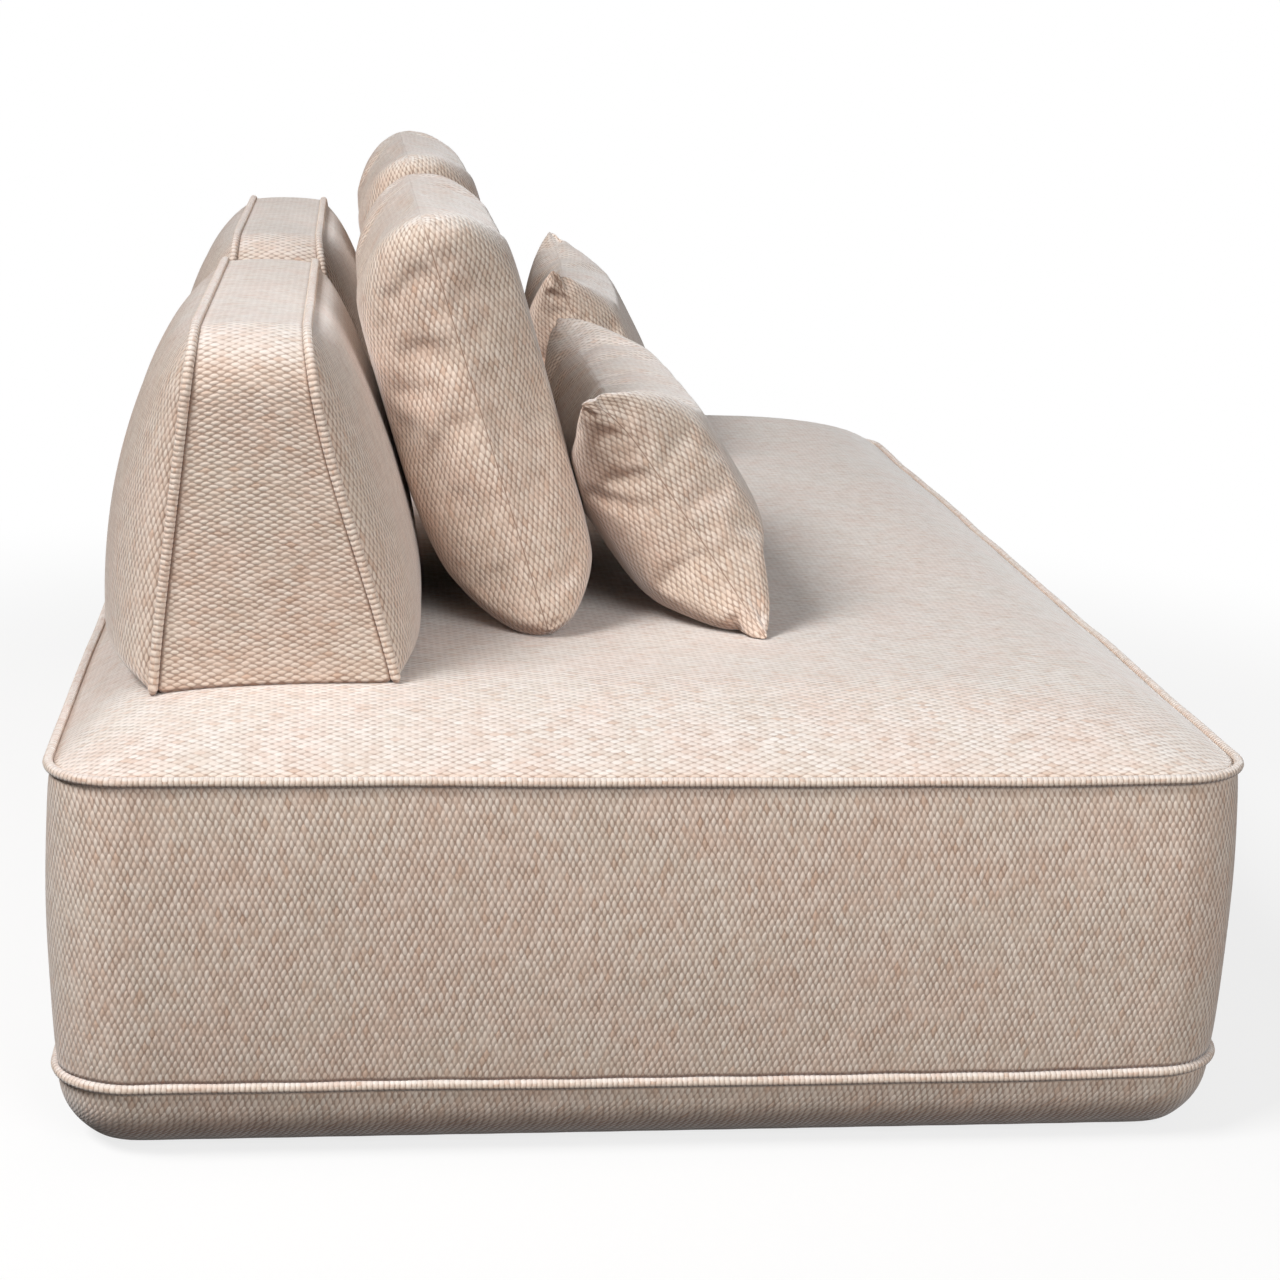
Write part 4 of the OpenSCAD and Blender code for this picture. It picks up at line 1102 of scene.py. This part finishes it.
# %% Foam
FOAM = plain_finish(
    "polyurethane_foam", "#f3ebcf", "#dccfa0", 0.95, (1100, 1100, 1100), 0.0008)
FOAMS = ["seat_foam", "seat_topper", "border_foam", "roll_foam",
         "left_backrest_foam", "right_backrest_foam"]
WEDGE_SHRINK, SLAB_SHRINK = (0.985, 0.9, 0.97), (0.997, 0.995, 0.985)
FOAM_WELD, FOAM_EDGE = 0.00002, 0.0015
FLAT_ENOUGH, SHARP = math.radians(1), math.radians(50)
for name in FOAMS:
    wedge = "backrest" in name
    bm = bmesh.new()
    bm.from_mesh(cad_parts[name].data)
    bmesh.ops.remove_doubles(bm, verts=bm.verts[:], dist=FOAM_WELD)
    bmesh.ops.dissolve_limit(bm, angle_limit=FLAT_ENOUGH, verts=bm.verts[:], edges=bm.edges[:])
    low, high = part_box(name)
    centre = Matrix.Translation(-(low + high) / 2)
    shrink = WEDGE_SHRINK if wedge else SLAB_SHRINK
    bmesh.ops.scale(bm, vec=shrink, space=centre, verts=bm.verts[:])
    sharp = [e for e in bm.edges if e.is_manifold and e.calc_face_angle() > SHARP]
    bmesh.ops.bevel(bm, geom=sharp, offset=FOAM_EDGE, affect="EDGES", segments=2, profile=0.5,
                    material=-1, clamp_overlap=True)
    for face in bm.faces:
        face.smooth = True
    made = to_object(bm, f"{name}_block", FOAM)
    dress(made, name.removesuffix("_foam") if wedge else "platform", [name])
    print(made.name, "has", len(made.data.polygons), "faces")

# %% [markdown]
# ## Floor and light
# The sofa stands on a plain pale floor. The camera sees it almost white, with the sofa's soft
# shadow, and further out it fades into the white round it. The sofa itself sees a duller floor,
# because in a studio little light comes up from below. The key light is large, soft and high. It
# hangs behind the sofa, towards its left end, so the backrests shade the gaps in front of them.
# A weaker one stands behind the camera and fills the near end and the front.

# %% Floor and light
FLOOR_SIZE = 60.0
SHADOW_STARTS_TO_FADE, SHADOW_GONE = 1.1, 2.2
LIT_SHARE = 0.22
SKY_LIGHT = 0.10
WHITE = (1, 1, 1, 1)

bm = bmesh.new()
bmesh.ops.create_grid(bm, x_segments=1, y_segments=1, size=FLOOR_SIZE / 2)
floor_material, tree, shader = new_material("pale_floor")
place = node(tree, "ShaderNodeTexCoord").outputs["Object"]
out = vector_maths(tree, "LENGTH", place, output="Value")
lit = fade(tree, out, SHADOW_STARTS_TO_FADE, SHADOW_GONE, LIT_SHARE, 0.0)
white = node(tree, "ShaderNodeEmission", {"Color": WHITE, "Strength": 1.0}).outputs[0]
shown = node(tree, "ShaderNodeBsdfDiffuse", {"Color": linear("#f7f6f5")}).outputs[0]
shown = node(tree, "ShaderNodeMixShader", {0: lit, 1: white, 2: shown}).outputs[0]
dull = node(tree, "ShaderNodeBsdfDiffuse", {"Color": linear("#4c4947")}).outputs[0]
both = node(tree, "ShaderNodeMixShader", {0: eye_or_mirror(tree), 1: dull, 2: shown})
tree.links.new(both.outputs[0], tree.nodes["Material Output"].inputs["Surface"])
tree.nodes.remove(shader)
floor = to_object(bm, "floor", floor_material)
floor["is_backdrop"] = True

world = bpy.data.worlds.new("studio")
bpy.context.scene.world = world
world.use_nodes = True
tree = world.node_tree
sky = tree.nodes["Background"]
sky.inputs["Color"].default_value = WHITE
sky.inputs["Strength"].default_value = SKY_LIGHT
seen = node(tree, "ShaderNodeBackground", {"Color": WHITE, "Strength": 1.0}).outputs[0]
both = node(tree, "ShaderNodeMixShader", {0: eye_or_mirror(tree), 1: sky.outputs[0], 2: seen})
tree.links.new(both.outputs[0], tree.nodes["World Output"].inputs["Surface"])


def lamp(name, place, aim, size, power):
    """A square soft light of a size in metres and a power in watts, turned to a place."""
    data = bpy.data.lights.new(name, "AREA")
    data.size = size
    data.energy = power
    made = bpy.data.objects.new(name, data)
    made.location = place
    made.rotation_mode = "QUATERNION"
    made.rotation_quaternion = (Vector(aim) - Vector(place)).to_track_quat("-Z", "Y")
    bpy.context.scene.collection.objects.link(made)


lamp("key_lamp", (-2.5, 3.7, 5.2), (-0.4, 0.1, 0.4), 2.2, 355)
lamp("fill_lamp", (-4.7, -1.9, 2.3), (-0.4, 0.0, 0.4), 2.6, 113)
print("lights:", [light.name for light in bpy.data.lights])

bpy.context.scene.view_settings.view_transform = "Standard"

# %% [markdown]
# ## The end
# The box of the dressed sofa is printed.

# %% The end
low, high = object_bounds()
print("box of the dressed sofa:", [round(x, 3) for x in low], [round(x, 3) for x in high])
